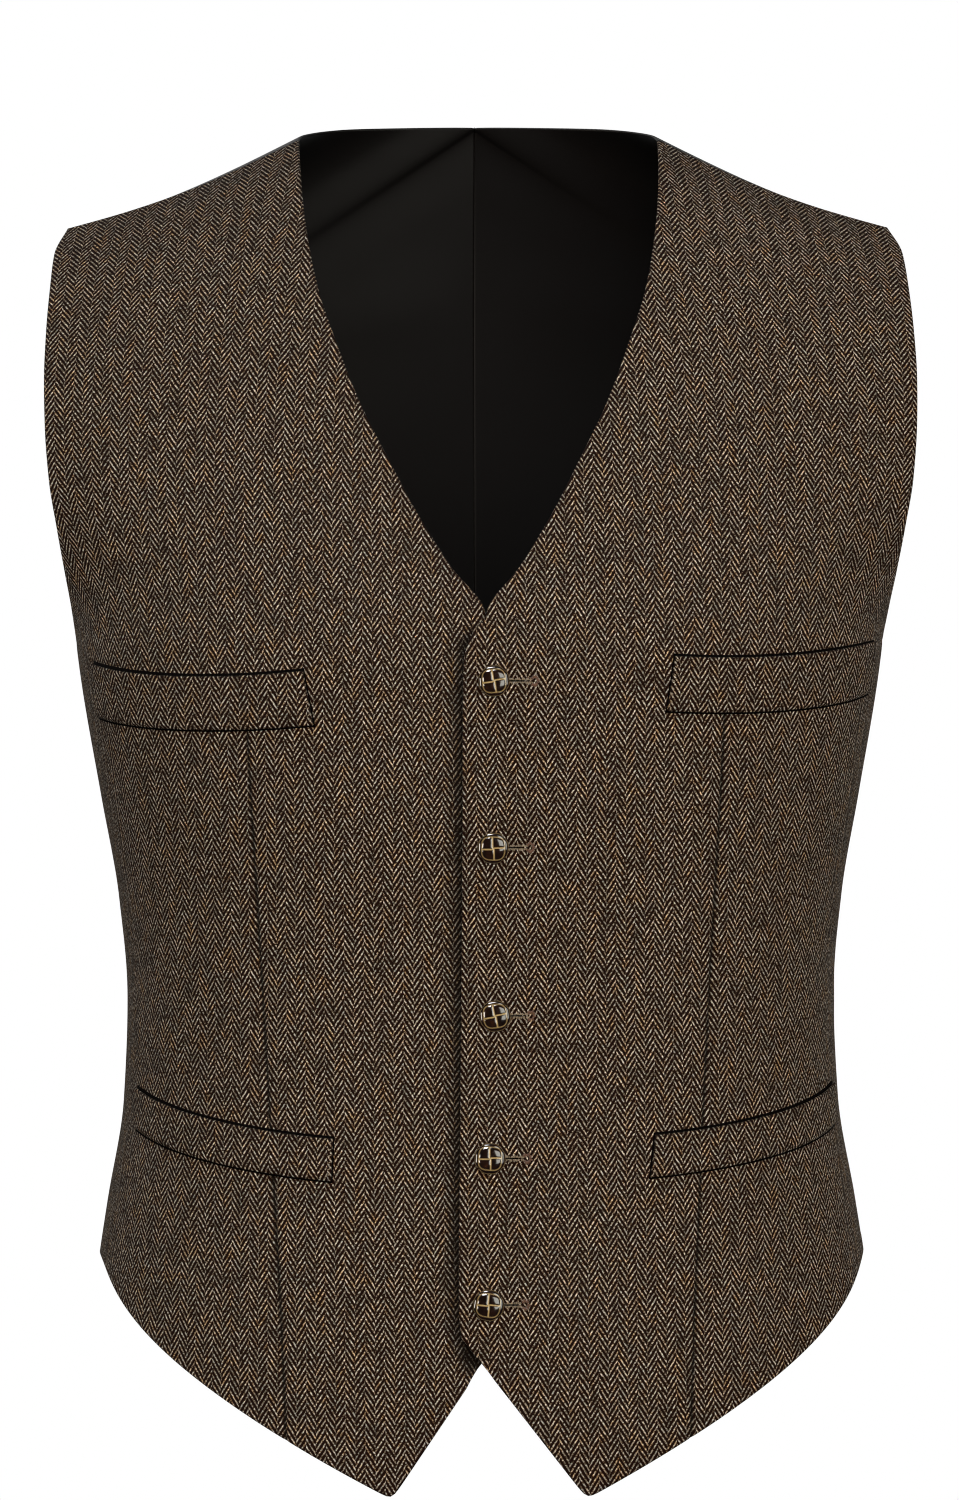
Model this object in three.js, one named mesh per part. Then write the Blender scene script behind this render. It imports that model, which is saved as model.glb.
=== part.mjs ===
// A man's suit waistcoat in its worn, hollow shape: two tweed fronts that lap at the centre, a plain
// satin back in two halves, four welt pockets and five buttons. Millimetres, +Z up. The wearer faces -Y
// and the wearer's left side is +X. The origin lies midway between the middles of the shoulder seams.
import * as THREE from 'three';

// Cloth and sewing
const TWEED_WALL = 2.4;        // tweed, canvas and lining, pressed together
const SATIN_WALL = 1.4;        // satin back with its lining
const WELT_WALL = 1.6;         // a pocket welt, stitched down on the front
const SEAM_GAP = 0.4;          // air between two pieces that are sewn edge to edge
const LAID_GAP = 0.4;          // air between a front and what lies on it
const DART_DEPTH = 0.9;        // how far the stitched dart pulls the cloth in

// Fastening
const LEFT_LAP = 11.3;         // the left front's edge runs this far past the centre
const RIGHT_LAP = 19;          // the right front's edge, hidden under the left one
const LAP_LIFT = TWEED_WALL + 0.7;
const LIFT_FULL_TO = 26;       // the left front rides at its full lift out to here
const LIFT_ENDS_AT = 95;       // and is back on the figure here
const BUTTON_RADIUS = 7.5;
const BUTTON_HEIGHT = 4.6;

// Hem of a front: two straight cuts that meet in a rounded point
const NOTCH_Z = -570.6;        // height where the two fronts part below the last button
const NOTCH_LEAN = 3;          // the notch's distance from the centre, towards the wearer's right
const POINT_DROP = 63.7;       // drop from the notch to the points
const POINT_GIRTH = 46.5;      // a point's distance from the centre
const HEM_RISE = 0.505;        // rise for each millimetre out, where the side cut leaves the point
const HEM_BEND = 0.0006;       // growth of that rise for each millimetre
const POINT_ROUND = 2.2;       // softness of the point
const SIDE_HEM_Z = -526;       // foot of the side seam
const SIDE_ROUND = 5;          // softness of the hem's turn to the level foot of the side seam
const BACK_HEM_DROP = 7;       // the centre back hangs this much lower
const HEM_FROM_Z = -450;       // rows of the grid start to lean towards the hem here

// Distances down from the shoulder seam
const MID_CHEST_DOWN = 96;
const NECK_DOWN = 100;         // the back neck, where the centre-back seam starts
const BACK_CHEST_DOWN = 220;
const ARMHOLE_DOWN = 262;      // foot of the armhole, where the side seam starts
const SEAM_ROUND = 7;          // the armhole turns into the side seam over this much
const BACK_ARMHOLE_DOWN = 274;
const LAP_FULL_DOWN = 298;     // the fronts lap by their full width from here down

// Rows of the grids are numbered by the distance down from the shoulder seam. Below the arms that is
// the height plus this much.
const DOWN_AT_ZERO = 48;

function table(columns, rows) {
  return rows.map((row) => Object.fromEntries(columns.map((name, k) => [name, row[k]])));
}

// Rings round the body below the arms: half width at the side seam, how far the front and the back
// stand from the plane of the side seams, and the exponents that round them, 2 being an ellipse.
const RING = ['z', 'halfWidth', 'front', 'back', 'frontFull', 'backFull'];
const RINGS = table(RING, [
  [-226, 199.2, 123.0, 96.5, 2.62, 2.75],
  [-245, 196.8, 124.5, 95.5, 2.58, 2.68],
  [-300, 187.4, 124.0, 89.5, 2.48, 2.48],
  [-350, 178.8, 120.0, 84.0, 2.42, 2.36],
  [-400, 174.8, 117.0, 81.0, 2.40, 2.30],
  [-450, 176.8, 118.0, 84.5, 2.40, 2.30],
  [-500, 185.0, 121.5, 92.5, 2.40, 2.30],
  [-530, 189.6, 123.5, 98.0, 2.40, 2.30],
  [-580, 196.0, 126.0, 105.0, 2.40, 2.30],
  [-640, 202.0, 128.0, 110.0, 2.40, 2.30],
]);

// Sections over the chest and shoulder, from the neckline (inner) to the armhole (outer). The turns are
// the parts of a rounded quarter, in degrees, that the section follows between its two ends.
const SECTION = ['down', 'innerX', 'innerY', 'innerZ', 'outerX', 'outerY', 'outerZ', 'from', 'to', 'full'];
const FRONT_SHOULDER = table(SECTION, [
  [0, 89.0, -10, 24.0, 203.5, -4, -19.0, 34, 54, 2.4],
  [20, 88.5, -28, 13.0, 209.5, -20, -33.0, 31, 54, 2.4],
  [42, 87.3, -45, -5.0, 211.0, -34, -50.0, 28, 54, 2.4],
  [68, 84.5, -60, -28.0, 212.5, -45, -72.0, 25, 55, 2.45],
  [96, 79.5, -72, -54.0, 213.3, -53, -96.0, 22, 57, 2.5],
  [126, 70.3, -82, -82.0, 212.8, -57, -121.0, 19, 59, 2.55],
  [156, 59.7, -91, -110.0, 211.0, -57, -146.0, 15, 62, 2.6],
  [186, 46.0, -100, -138.0, 207.5, -52, -169.0, 11, 68, 2.65],
  [214, 31.4, -108.5, -166.0, 204.0, -43, -190.0, 7, 74, 2.65],
  [238, 16.5, -115.5, -190.0, 201.0, -29.5, -208.0, 3, 80.5, 2.65],
  [262, 0, -121.5, -214.0, 199.4, -10, -222.5, 0, 87.5, 2.63],
]);
const BACK_SHOULDER = table(SECTION, [
  [0, 89.0, -10, 24.0, 203.5, -4, -19.0, 34, 54, 2.4],
  [14, 87.5, 4, 27.5, 204.5, 9, -22.5, 33, 53, 2.4],
  [34, 79.5, 24, 31.5, 202.5, 25, -32.5, 31, 52, 2.4],
  [56, 62.0, 43, 35.0, 199.5, 40, -48.0, 28, 52, 2.45],
  [78, 36.0, 58, 37.0, 195.5, 52, -66.0, 20, 52, 2.5],
  [100, 0, 67, 38.0, 191.5, 61, -88.0, 10, 52, 2.55],
  [130, 0, 76, 8.0, 187.5, 67, -113.0, 6, 53, 2.65],
  [160, 0, 84, -32.0, 185.0, 69, -138.0, 3, 54, 2.75],
  [190, 0, 90.5, -80.0, 185.0, 65.5, -163.0, 1, 57, 2.8],
  [220, 0, 94.5, -130.0, 188.0, 55, -187.0, 0, 63.5, 2.8],
  [246, 0, 96.5, -178.0, 193.8, 36, -207.5, 0, 75, 2.8],
  [264, 0, 97, -211.0, 197.8, 14, -222.0, 0, 85.5, 2.77],
]);

// Guide lines of a front, as distances out from the centre: its edge past the centre (as a share of
// the lap), the line that ends in the hem's point, and the dart.
const FRONT_GUIDES = table(['down', 'lap', 'point', 'dart'], [
  [0, 0, 117, 148],
  [96, 0, 108, 141],
  [186, 0, 84, 128],
  [262, 0, 56, 117],
  [268, 0.42, 55, 117],
  [276, 0.82, 54, 116.5],
  [284, 0.96, 53, 116],
  [296, 1, 52, 115.5],
  [400, 1.06, 49, 110],
  [498, 1.16, 47, 104.5],
  [592, 1.26, 46, 99.4],
  [604, 1.18, 46, 98.8],
  [614, 0.92, 46, 98.5],
  [626, 0.4, 45.7, 98],
  [680, 0, 45, 96],
]);
const DART_TOP_DOWN = 303;     // hidden behind the chest welt

// Welts, by their upper edge on the front: height of the cloth strip, how far the inner end slants
// and how far the upper edge sags between its ends.
const WELTS = table(['name', 'side', 'innerX', 'innerZ', 'outerX', 'outerZ', 'height', 'slant', 'sag'], [
  ['chest_welt_left', 1, 90, -233.5, 191, -225.5, 26, 4, 4],
  ['chest_welt_right', -1, 87, -240, 189, -235, 26, 5, 4],
  ['hip_welt_left', 1, 80, -462.5, 171, -441.5, 20.5, 2.5, 3],
  ['hip_welt_right', -1, 73.5, -463.5, 168.5, -442, 20.5, -1, 3],
]);

// Button centres, from the top one down
const BUTTONS = table(['x', 'z'], [
  [3.4, -245.2], [2.8, -324.5], [3.6, -404.8], [0.9, -472.7], [-0.2, -542],
]);

// Soft interpolation down a table: cubic between rows, with no overshoot.
function slopes(rows, key) {
  const step = (k) => (rows[k + 1][key] - rows[k][key]) / (rows[k + 1].down - rows[k].down);
  return rows.map((row, k) => {
    if (k === 0) return step(0);
    if (k === rows.length - 1) return step(k - 1);
    const before = step(k - 1);
    const after = step(k);
    return before * after <= 0 ? 0 : (2 * before * after) / (before + after);
  });
}

function track(rows, key) {
  const slope = slopes(rows, key);
  return (down) => {
    const last = rows.length - 1;
    if (down <= rows[0].down) return rows[0][key] + slope[0] * (down - rows[0].down);
    if (down >= rows[last].down) return rows[last][key] + slope[last] * (down - rows[last].down);
    const k = rows.findIndex((row) => row.down > down) - 1;
    const span = rows[k + 1].down - rows[k].down;
    const t = (down - rows[k].down) / span;
    const start = (1 + 2 * t) * (1 - t) ** 2 * rows[k][key] + t * (1 - t) ** 2 * span * slope[k];
    const end = t * t * (3 - 2 * t) * rows[k + 1][key] + t * t * (t - 1) * span * slope[k + 1];
    return start + end;
  };
}

function tracks(rows) {
  const keys = Object.keys(rows[0]).filter((key) => key !== 'down');
  const made = Object.fromEntries(keys.map((key) => [key, track(rows, key)]));
  return (down) => Object.fromEntries(keys.map((key) => [key, made[key](down)]));
}

function ringSections(facing) {
  return RINGS.map((ring) => ({
    down: DOWN_AT_ZERO - ring.z,
    innerX: 0,
    innerY: facing < 0 ? -ring.front : ring.back,
    innerZ: ring.z,
    outerX: ring.halfWidth,
    outerY: 0,
    outerZ: ring.z,
    from: 0,
    to: 90,
    full: facing < 0 ? ring.frontFull : ring.backFull,
  }));
}

const lerp = THREE.MathUtils.lerp;
const radians = THREE.MathUtils.degToRad;
const SECTION_STEPS = 48;
const SETTLING = 6;            // turns that settle a place found by trial
const NORMAL_STEP = 2;
const SEAM_SAG = 4.2;          // how far the shoulder seam hangs between neck and armhole
const SAG_ENDS_DOWN = 70;

// A section of the figure as a polyline with its running length. The rounded quarter is
// x = sin(a)^(2/n), y = cos(a)^(2/n), cut to the section's two turns.
class Form {
  constructor(rows) {
    this.at = tracks(rows);
    this.known = new Map();
  }

  section(down) {
    const key = down.toFixed(3);
    if (!this.known.has(key)) this.known.set(key, this.draw(down));
    return this.known.get(key);
  }

  draw(down) {
    const s = this.at(down);
    const across = (angle) => Math.max(Math.sin(angle), 0) ** (2 / s.full);
    const along = (angle) => Math.max(Math.cos(angle), 0) ** (2 / s.full);
    const [first, last] = [radians(Math.max(s.from, 0)), radians(Math.min(s.to, 90))];
    const points = [];
    for (let k = 0; k <= SECTION_STEPS; k += 1) {
      const angle = lerp(first, last, k / SECTION_STEPS);
      const out = (across(angle) - across(first)) / (across(last) - across(first));
      const round = (along(first) - along(angle)) / (along(first) - along(last));
      const x = lerp(Math.max(s.innerX, 0), s.outerX, out);
      points.push(new THREE.Vector3(x, lerp(s.innerY, s.outerY, round), 0));
    }
    const lengths = [0];
    for (let k = 1; k < points.length; k += 1) {
      lengths.push(lengths[k - 1] + points[k].distanceTo(points[k - 1]));
    }
    const sag = SEAM_SAG * Math.max(1 - down / SAG_ENDS_DOWN, 0) ** 2;
    points.forEach((point, k) => {
      const share = lengths[k] / lengths.at(-1);
      point.z = lerp(s.innerZ, s.outerZ, share) - sag * Math.sin(Math.PI * share);
    });
    return { points, lengths };
  }

  length(down) {
    return this.section(down).lengths.at(-1);
  }

  // The point at a distance along the section. Past the centre the section is mirrored.
  point(down, girth) {
    const { points, lengths } = this.section(down);
    const reach = Math.min(Math.abs(girth), lengths.at(-1));
    let k = 1;
    while (k < lengths.length - 1 && lengths[k] < reach) k += 1;
    const share = (reach - lengths[k - 1]) / (lengths[k] - lengths[k - 1]);
    const point = points[k - 1].clone().lerp(points[k], share);
    if (girth < 0) point.x = -point.x;
    return point;
  }

  // The distance along the section at which it stands this far out from the centre.
  girthAt(down, x) {
    const { points, lengths } = this.section(down);
    let k = 1;
    while (k < points.length - 1 && points[k].x < x) k += 1;
    const share = (x - points[k - 1].x) / (points[k].x - points[k - 1].x);
    return lerp(lengths[k - 1], lengths[k], THREE.MathUtils.clamp(share, 0, 1));
  }
}

const frontForm = new Form([...FRONT_SHOULDER, ...ringSections(-1)]);
const backForm = new Form([...BACK_SHOULDER, ...ringSections(1)]);
const guides = tracks(FRONT_GUIDES);

// The higher of two heights, with a soft turn from one to the other.
function softHigher(a, b, round) {
  const middle = (a + b) / 2;
  return middle + round * Math.log(Math.exp((a - middle) / round) + Math.exp((b - middle) / round));
}

// Height of the hem at a distance from the centre: two cuts that meet in the point, and a level foot.
function frontHem(side, girth) {
  const pointZ = NOTCH_Z - POINT_DROP;
  const lean = side * NOTCH_LEAN;
  const notchCut = NOTCH_Z - (POINT_DROP * (girth + lean)) / (POINT_GIRTH + lean);
  const out = girth - POINT_GIRTH;
  const sideCut = pointZ + HEM_RISE * out + HEM_BEND * out * Math.abs(out);
  const outer = -softHigher(-sideCut, -SIDE_HEM_Z, SIDE_ROUND);
  return softHigher(notchCut, outer, POINT_ROUND);
}

const HEM_FROM = DOWN_AT_ZERO - HEM_FROM_Z;
const SEAM_FROM = ARMHOLE_DOWN - SEAM_ROUND;

// Columns of a front's grid, as shares of its width
const POINT_LINE = 0.25;
const DART_LINE = 0.5;
const PLACES = [0, POINT_LINE, DART_LINE, 1];
const CLOSE = 1e-9;

// How far the left front rides over the right one, by the distance out from the centre.
function lapLift(x) {
  const fade = THREE.MathUtils.smoothstep(x, LIFT_FULL_TO, LIFT_ENDS_AT);
  return LAP_LIFT * (1 - fade);
}

class Front {
  constructor(side, lap) {
    this.side = side;
    this.lap = lap;
  }

  // Distance along the section for a column, 0 at the edge and 1 at the side seam or armhole.
  girth(column, down) {
    const guide = guides(down);
    const stops = [
      -guide.lap * this.lap,
      frontForm.girthAt(down, guide.point),
      frontForm.girthAt(down, guide.dart),
      frontForm.length(down),
    ];
    const k = PLACES.findIndex((place) => column <= place + CLOSE) || 1;
    return lerp(stops[k - 1], stops[k], (column - PLACES[k - 1]) / (PLACES[k] - PLACES[k - 1]));
  }

  // Row 0 is the shoulder seam, 1 the level where the rows start to lean to the hem, 2 the hem.
  down(column, row) {
    if (row <= 1) return row * HEM_FROM;
    let hem = HEM_FROM;
    for (let k = 0; k < SETTLING; k += 1) hem = DOWN_AT_ZERO - frontHem(this.side, this.girth(column, hem));
    return lerp(HEM_FROM, hem, row - 1);
  }

  surface(down, girth) {
    const point = frontForm.point(down, girth);
    if (this.side > 0) point.y -= lapLift(point.x);
    if (down < 1) point.y -= SEAM_GAP / 2;
    if (girth >= frontForm.length(down) - CLOSE && down > SEAM_FROM) point.y -= SEAM_GAP / 2;
    point.x *= this.side;
    return point;
  }

  // The way out of the cloth at a place on it.
  normal(down, girth) {
    const reach = Math.min(girth, frontForm.length(down) - NORMAL_STEP);
    const across = this.surface(down, reach + NORMAL_STEP).sub(this.surface(down, reach - NORMAL_STEP));
    const along = this.surface(down + NORMAL_STEP, reach).sub(this.surface(down - NORMAL_STEP, reach));
    return along.cross(across).multiplyScalar(this.side).normalize();
  }

  // The place on the cloth that stands at this x and z, seen from the front.
  locate(x, z) {
    let down = DOWN_AT_ZERO - z;
    let girth = 0;
    for (let k = 0; k < SETTLING; k += 1) {
      girth = x < 0 ? x : frontForm.girthAt(down, x);
      down += frontForm.point(down, girth).z - z;
    }
    return { down, girth };
  }
}

// Grid of a piece: rows of points from the shoulder down.
function grid(columns, rows, place) {
  return rows.map((row) => columns.map((column) => place(column, row)));
}

// Outward directions of a grid, from its neighbours. keep removes a part of the direction on a seam,
// so that the walls of two pieces end in parallel faces.
function directions(points, outward, keep) {
  return points.map((row, j) => row.map((_, i) => {
    const across = row[Math.min(i + 1, row.length - 1)].clone().sub(row[Math.max(i - 1, 0)]);
    const above = points[Math.max(j - 1, 0)][i];
    const below = points[Math.min(j + 1, points.length - 1)][i];
    const normal = below.clone().sub(above).cross(across).multiplyScalar(outward).normalize();
    keep(normal, i, j);
    return normal.normalize();
  }));
}

function moved(points, normals, distance) {
  return points.map((row, j) => row.map((point, i) => (
    point.clone().addScaledVector(normals[j][i], distance))));
}

// A closed cloth wall between an outer and an inner grid of points. turned is true where the grid's
// own order faces inwards.
function wall(outer, inner, turned) {
  const [rows, columns] = [outer.length, outer[0].length];
  const position = [...outer.flat(), ...inner.flat()].flatMap((p) => [p.x, p.y, p.z]);
  const at = (layer, j, i) => layer * rows * columns + j * columns + i;
  const index = [];
  const face = (a, b, c, d) => index.push(...(turned ? [a, c, b, a, d, c] : [a, b, c, a, c, d]));
  for (let j = 0; j < rows - 1; j += 1) {
    for (let i = 0; i < columns - 1; i += 1) {
      face(at(0, j, i), at(0, j + 1, i), at(0, j + 1, i + 1), at(0, j, i + 1));
      face(at(1, j, i), at(1, j, i + 1), at(1, j + 1, i + 1), at(1, j + 1, i));
    }
  }
  const rim = [];
  for (let i = 0; i < columns - 1; i += 1) rim.push([0, i]);
  for (let j = 0; j < rows - 1; j += 1) rim.push([j, columns - 1]);
  for (let i = columns - 1; i > 0; i -= 1) rim.push([rows - 1, i]);
  for (let j = rows - 1; j > 0; j -= 1) rim.push([j, 0]);
  rim.forEach(([j, i], k) => {
    const [nextJ, nextI] = rim[(k + 1) % rim.length];
    face(at(0, j, i), at(0, nextJ, nextI), at(1, nextJ, nextI), at(1, j, i));
  });
  const geometry = new THREE.BufferGeometry();
  geometry.setAttribute('position', new THREE.Float32BufferAttribute(position, 3));
  geometry.setIndex(index);
  geometry.computeVertexNormals();
  return geometry;
}

function stops(...spans) {
  const places = [spans[0].from];
  spans.forEach(({ from, to, count }) => {
    for (let k = 1; k <= count; k += 1) places.push(lerp(from, to, k / count));
  });
  return places;
}

const tweed = { color: 0x4c4035, roughness: 0.95, metalness: 0 };
const satin = { color: 0x1d1a18, roughness: 0.45, metalness: 0 };
const glossy = { color: 0x2a1b12, roughness: 0.22, metalness: 0 };

function piece(name, geometry, finish) {
  const mesh = new THREE.Mesh(geometry, new THREE.MeshStandardMaterial(finish));
  mesh.name = name;
  return mesh;
}

const DART_NEAR = 0.055;       // the cloth dips to the dart within this share of the front on the inner side
const DART_FAR = 0.02;         // and this share on the outer side
const FRONT_COLUMNS = stops(
  { from: 0, to: POINT_LINE, count: 5 },
  { from: POINT_LINE, to: DART_LINE - DART_NEAR, count: 4 },
  { from: DART_LINE - DART_NEAR, to: DART_LINE, count: 2 },
  { from: DART_LINE, to: DART_LINE + DART_FAR, count: 1 },
  { from: DART_LINE + DART_FAR, to: 1, count: 11 },
);
const FRONT_ROWS = stops(
  { from: 0, to: MID_CHEST_DOWN, count: 7 },
  { from: MID_CHEST_DOWN, to: ARMHOLE_DOWN, count: 10 },
  { from: ARMHOLE_DOWN, to: LAP_FULL_DOWN, count: 4 },
  { from: LAP_FULL_DOWN, to: HEM_FROM, count: 9 },
).map((down) => down / HEM_FROM).concat(stops({ from: 1, to: 2, count: 8 }).slice(1));

function frontPiece(name, front) {
  const downs = grid(FRONT_COLUMNS, FRONT_ROWS, (column, row) => front.down(column, row));
  const outer = grid(FRONT_COLUMNS, FRONT_ROWS, (column, row) => {
    const down = front.down(column, row);
    return front.surface(down, front.girth(column, down));
  });
  const last = FRONT_COLUMNS.length - 1;
  const normals = directions(outer, front.side, (normal, i, j) => {
    if (j === 0 || (i === last && downs[j][i] > SEAM_FROM)) normal.y = 0;
  });
  const dart = FRONT_COLUMNS.indexOf(DART_LINE);
  outer.forEach((row, j) => {
    if (downs[j][dart] > DART_TOP_DOWN) row[dart].addScaledVector(normals[j][dart], -DART_DEPTH);
  });
  const inner = moved(outer, normals, -TWEED_WALL);
  return piece(name, wall(outer, inner, front.side < 0), tweed);
}

const BACK_COLUMNS = stops({ from: 0, to: 1, count: 16 });
const BACK_ROWS = stops(
  { from: 0, to: NECK_DOWN, count: 8 },
  { from: NECK_DOWN, to: BACK_CHEST_DOWN, count: 7 },
  { from: BACK_CHEST_DOWN, to: BACK_ARMHOLE_DOWN, count: 4 },
  { from: BACK_ARMHOLE_DOWN, to: DOWN_AT_ZERO - SIDE_HEM_Z, count: 11 },
);

function backPiece(name, side) {
  const hem = DOWN_AT_ZERO - SIDE_HEM_Z;
  const outer = grid(BACK_COLUMNS, BACK_ROWS, (column, row) => {
    const lean = THREE.MathUtils.clamp((row - HEM_FROM) / (hem - HEM_FROM), 0, 1);
    const down = row + lean * BACK_HEM_DROP * (1 - column);
    const point = backForm.point(down, column * backForm.length(down));
    if (row < 1) point.y += SEAM_GAP / 2;
    if (column === 1 && row > SEAM_FROM) point.y += SEAM_GAP / 2;
    if (column === 0 && row > NECK_DOWN - 1) point.x += SEAM_GAP / 2;
    point.x *= side;
    return point;
  });
  const last = BACK_COLUMNS.length - 1;
  const normals = directions(outer, -side, (normal, i, j) => {
    if (j === 0 || (i === last && BACK_ROWS[j] > SEAM_FROM)) normal.y = 0;
    if (i === 0 && BACK_ROWS[j] > NECK_DOWN - 1) normal.x = 0;
  });
  return piece(name, wall(outer, moved(outer, normals, -SATIN_WALL), side > 0), satin);
}

const fronts = { 1: new Front(1, LEFT_LAP), '-1': new Front(-1, RIGHT_LAP) };

const WELT_COLUMNS = 12;
const WELT_ROWS = 3;

// A welt: a strip of the front's own points, moved out.
function weltPiece(welt) {
  const front = fronts[welt.side];
  const inner = front.locate(welt.innerX, welt.innerZ);
  const outer = front.locate(welt.outerX, welt.outerZ);
  const columns = stops({ from: 0, to: 1, count: WELT_COLUMNS });
  const rows = stops({ from: 0, to: 1, count: WELT_ROWS });
  const places = grid(columns, rows, (along, across) => ({
    girth: lerp(inner.girth, outer.girth, along) - welt.slant * across * (1 - along),
    down: lerp(inner.down, outer.down, along) + welt.sag * 4 * along * (1 - along) + welt.height * across,
  }));
  const layer = (distance) => places.map((row) => row.map(({ down, girth }) => (
    front.surface(down, girth).addScaledVector(front.normal(down, girth), distance))));
  return piece(welt.name, wall(layer(LAID_GAP + WELT_WALL), layer(LAID_GAP), welt.side < 0), tweed);
}

// A domed button, seated on the left front with its face out of the cloth.
const BUTTON_SEGMENTS = 24;
const BUTTON_PROFILE = table(['radius', 'height'], [
  [0, 0], [0.62, 0], [0.95, 0.2], [1, 0.45], [0.93, 0.72], [0.66, 0.92], [0.34, 0.99], [0, 1],
]);

function buttonPiece(name, { x, z }) {
  const profile = BUTTON_PROFILE.map(({ radius, height }) => (
    new THREE.Vector2(radius * BUTTON_RADIUS, height * BUTTON_HEIGHT)));
  const mesh = piece(name, new THREE.LatheGeometry(profile, BUTTON_SEGMENTS), glossy);
  const front = fronts[1];
  const { down, girth } = front.locate(x, z);
  const normal = front.normal(down, girth);
  mesh.position.copy(front.surface(down, girth).addScaledVector(normal, LAID_GAP));
  mesh.quaternion.setFromUnitVectors(new THREE.Vector3(0, 1, 0), normal);
  return mesh;
}

const group = new THREE.Group();
group.add(frontPiece('front_left', fronts[1]), frontPiece('front_right', fronts[-1]));
group.add(backPiece('back_left', 1), backPiece('back_right', -1));
group.add(...WELTS.map(weltPiece));
group.add(...BUTTONS.map((button, k) => buttonPiece(`button_${k + 1}`, button)));

export default group;
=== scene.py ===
# %% [markdown]
# # A tweed suit waistcoat
# The garment hangs as it would on a figure: two herringbone fronts that lap at the centre, a plain
# satin back in two halves, four welt pockets and five moulded buttons. It is hollow, and open at
# the neck, the armholes and the hem. The CAD part gives every size. Here each panel is drawn again
# on a finer grid, so that the cloth can have turned edges, a stitched dart, soft creases and a weave.

import math

import bpy
import numpy as np
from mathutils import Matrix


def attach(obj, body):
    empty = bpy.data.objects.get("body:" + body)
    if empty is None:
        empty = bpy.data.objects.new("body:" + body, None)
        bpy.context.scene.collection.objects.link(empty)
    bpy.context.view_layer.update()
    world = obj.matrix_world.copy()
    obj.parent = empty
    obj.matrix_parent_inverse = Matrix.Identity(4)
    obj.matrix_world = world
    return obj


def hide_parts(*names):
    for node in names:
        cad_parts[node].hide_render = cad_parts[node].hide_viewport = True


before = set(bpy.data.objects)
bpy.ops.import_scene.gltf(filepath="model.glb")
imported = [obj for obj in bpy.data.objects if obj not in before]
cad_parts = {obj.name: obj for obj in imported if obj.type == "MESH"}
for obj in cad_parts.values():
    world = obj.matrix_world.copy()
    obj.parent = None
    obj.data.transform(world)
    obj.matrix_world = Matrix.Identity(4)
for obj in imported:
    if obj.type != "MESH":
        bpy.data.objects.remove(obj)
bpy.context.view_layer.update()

# %% [markdown]
# A few small helpers serve the whole file. Colours are picked as the hex codes that a screen shows,
# while Blender reckons with linear light, so one function turns one into the other. Another adds a
# shader node with its settings and links in one call, and a third starts a material.

# %% Helpers for colours and materials
def linear(hex_code):
    """Linear colour of an sRGB hex code: c / 12.92 up to 0.04045, else ((c + 0.055) / 1.055) ** 2.4."""
    parts = [int(hex_code[k : k + 2], 16) / 255 for k in (1, 3, 5)]
    return [p / 12.92 if p <= 0.04045 else ((p + 0.055) / 1.055) ** 2.4 for p in parts] + [1.0]


def add(tree, kind, inputs=None, stops=(), **settings):
    """Adds a shader node with its settings. inputs maps a socket to a value, a hex colour, or the
    node or socket that feeds it, and stops are the places and colours of a ramp."""
    node = tree.nodes.new("ShaderNode" + kind)
    for name, value in settings.items():
        setattr(node, name, value)
    for socket, value in (inputs or {}).items():
        if isinstance(value, bpy.types.Node):
            value = value.outputs[0]
        if isinstance(value, bpy.types.NodeSocket):
            tree.links.new(value, node.inputs[socket])
        else:
            node.inputs[socket].default_value = linear(value) if isinstance(value, str) else value
    for k, (place, colour) in enumerate(stops):
        ramp = node.color_ramp.elements
        element = ramp[k] if k < len(ramp) else ramp.new(place)
        element.position, element.color = place, linear(colour)
    return node


def new_material(name, finish):
    """A material whose Principled shader has the sockets in finish set, with its tree and that shader."""
    material = bpy.data.materials.new(name)
    material.use_nodes = True
    tree = material.node_tree
    shader = tree.nodes["Principled BSDF"]
    for socket, value in finish.items():
        shader.inputs[socket].default_value = linear(value) if isinstance(value, str) else value
    return material, tree, shader


print("white, linear:", linear("#ffffff")[:3], "middle grey, linear:", round(linear("#808080")[0], 3))

# %% [markdown]
# The next helper puts whole arrays of points and faces into a mesh at once, which is much faster
# than adding them one by one. Beside it stand two curves that shape cloth everywhere in this file:
# a soft step from 0 to 1 and a bell that fades to both sides.

# %% Helpers for meshes
MM = 0.001
CORNERS = 4


def into_scene(name, data):
    """A new object with this data, linked to the scene."""
    made = bpy.data.objects.new(name, data)
    bpy.context.scene.collection.objects.link(made)
    return made


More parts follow.
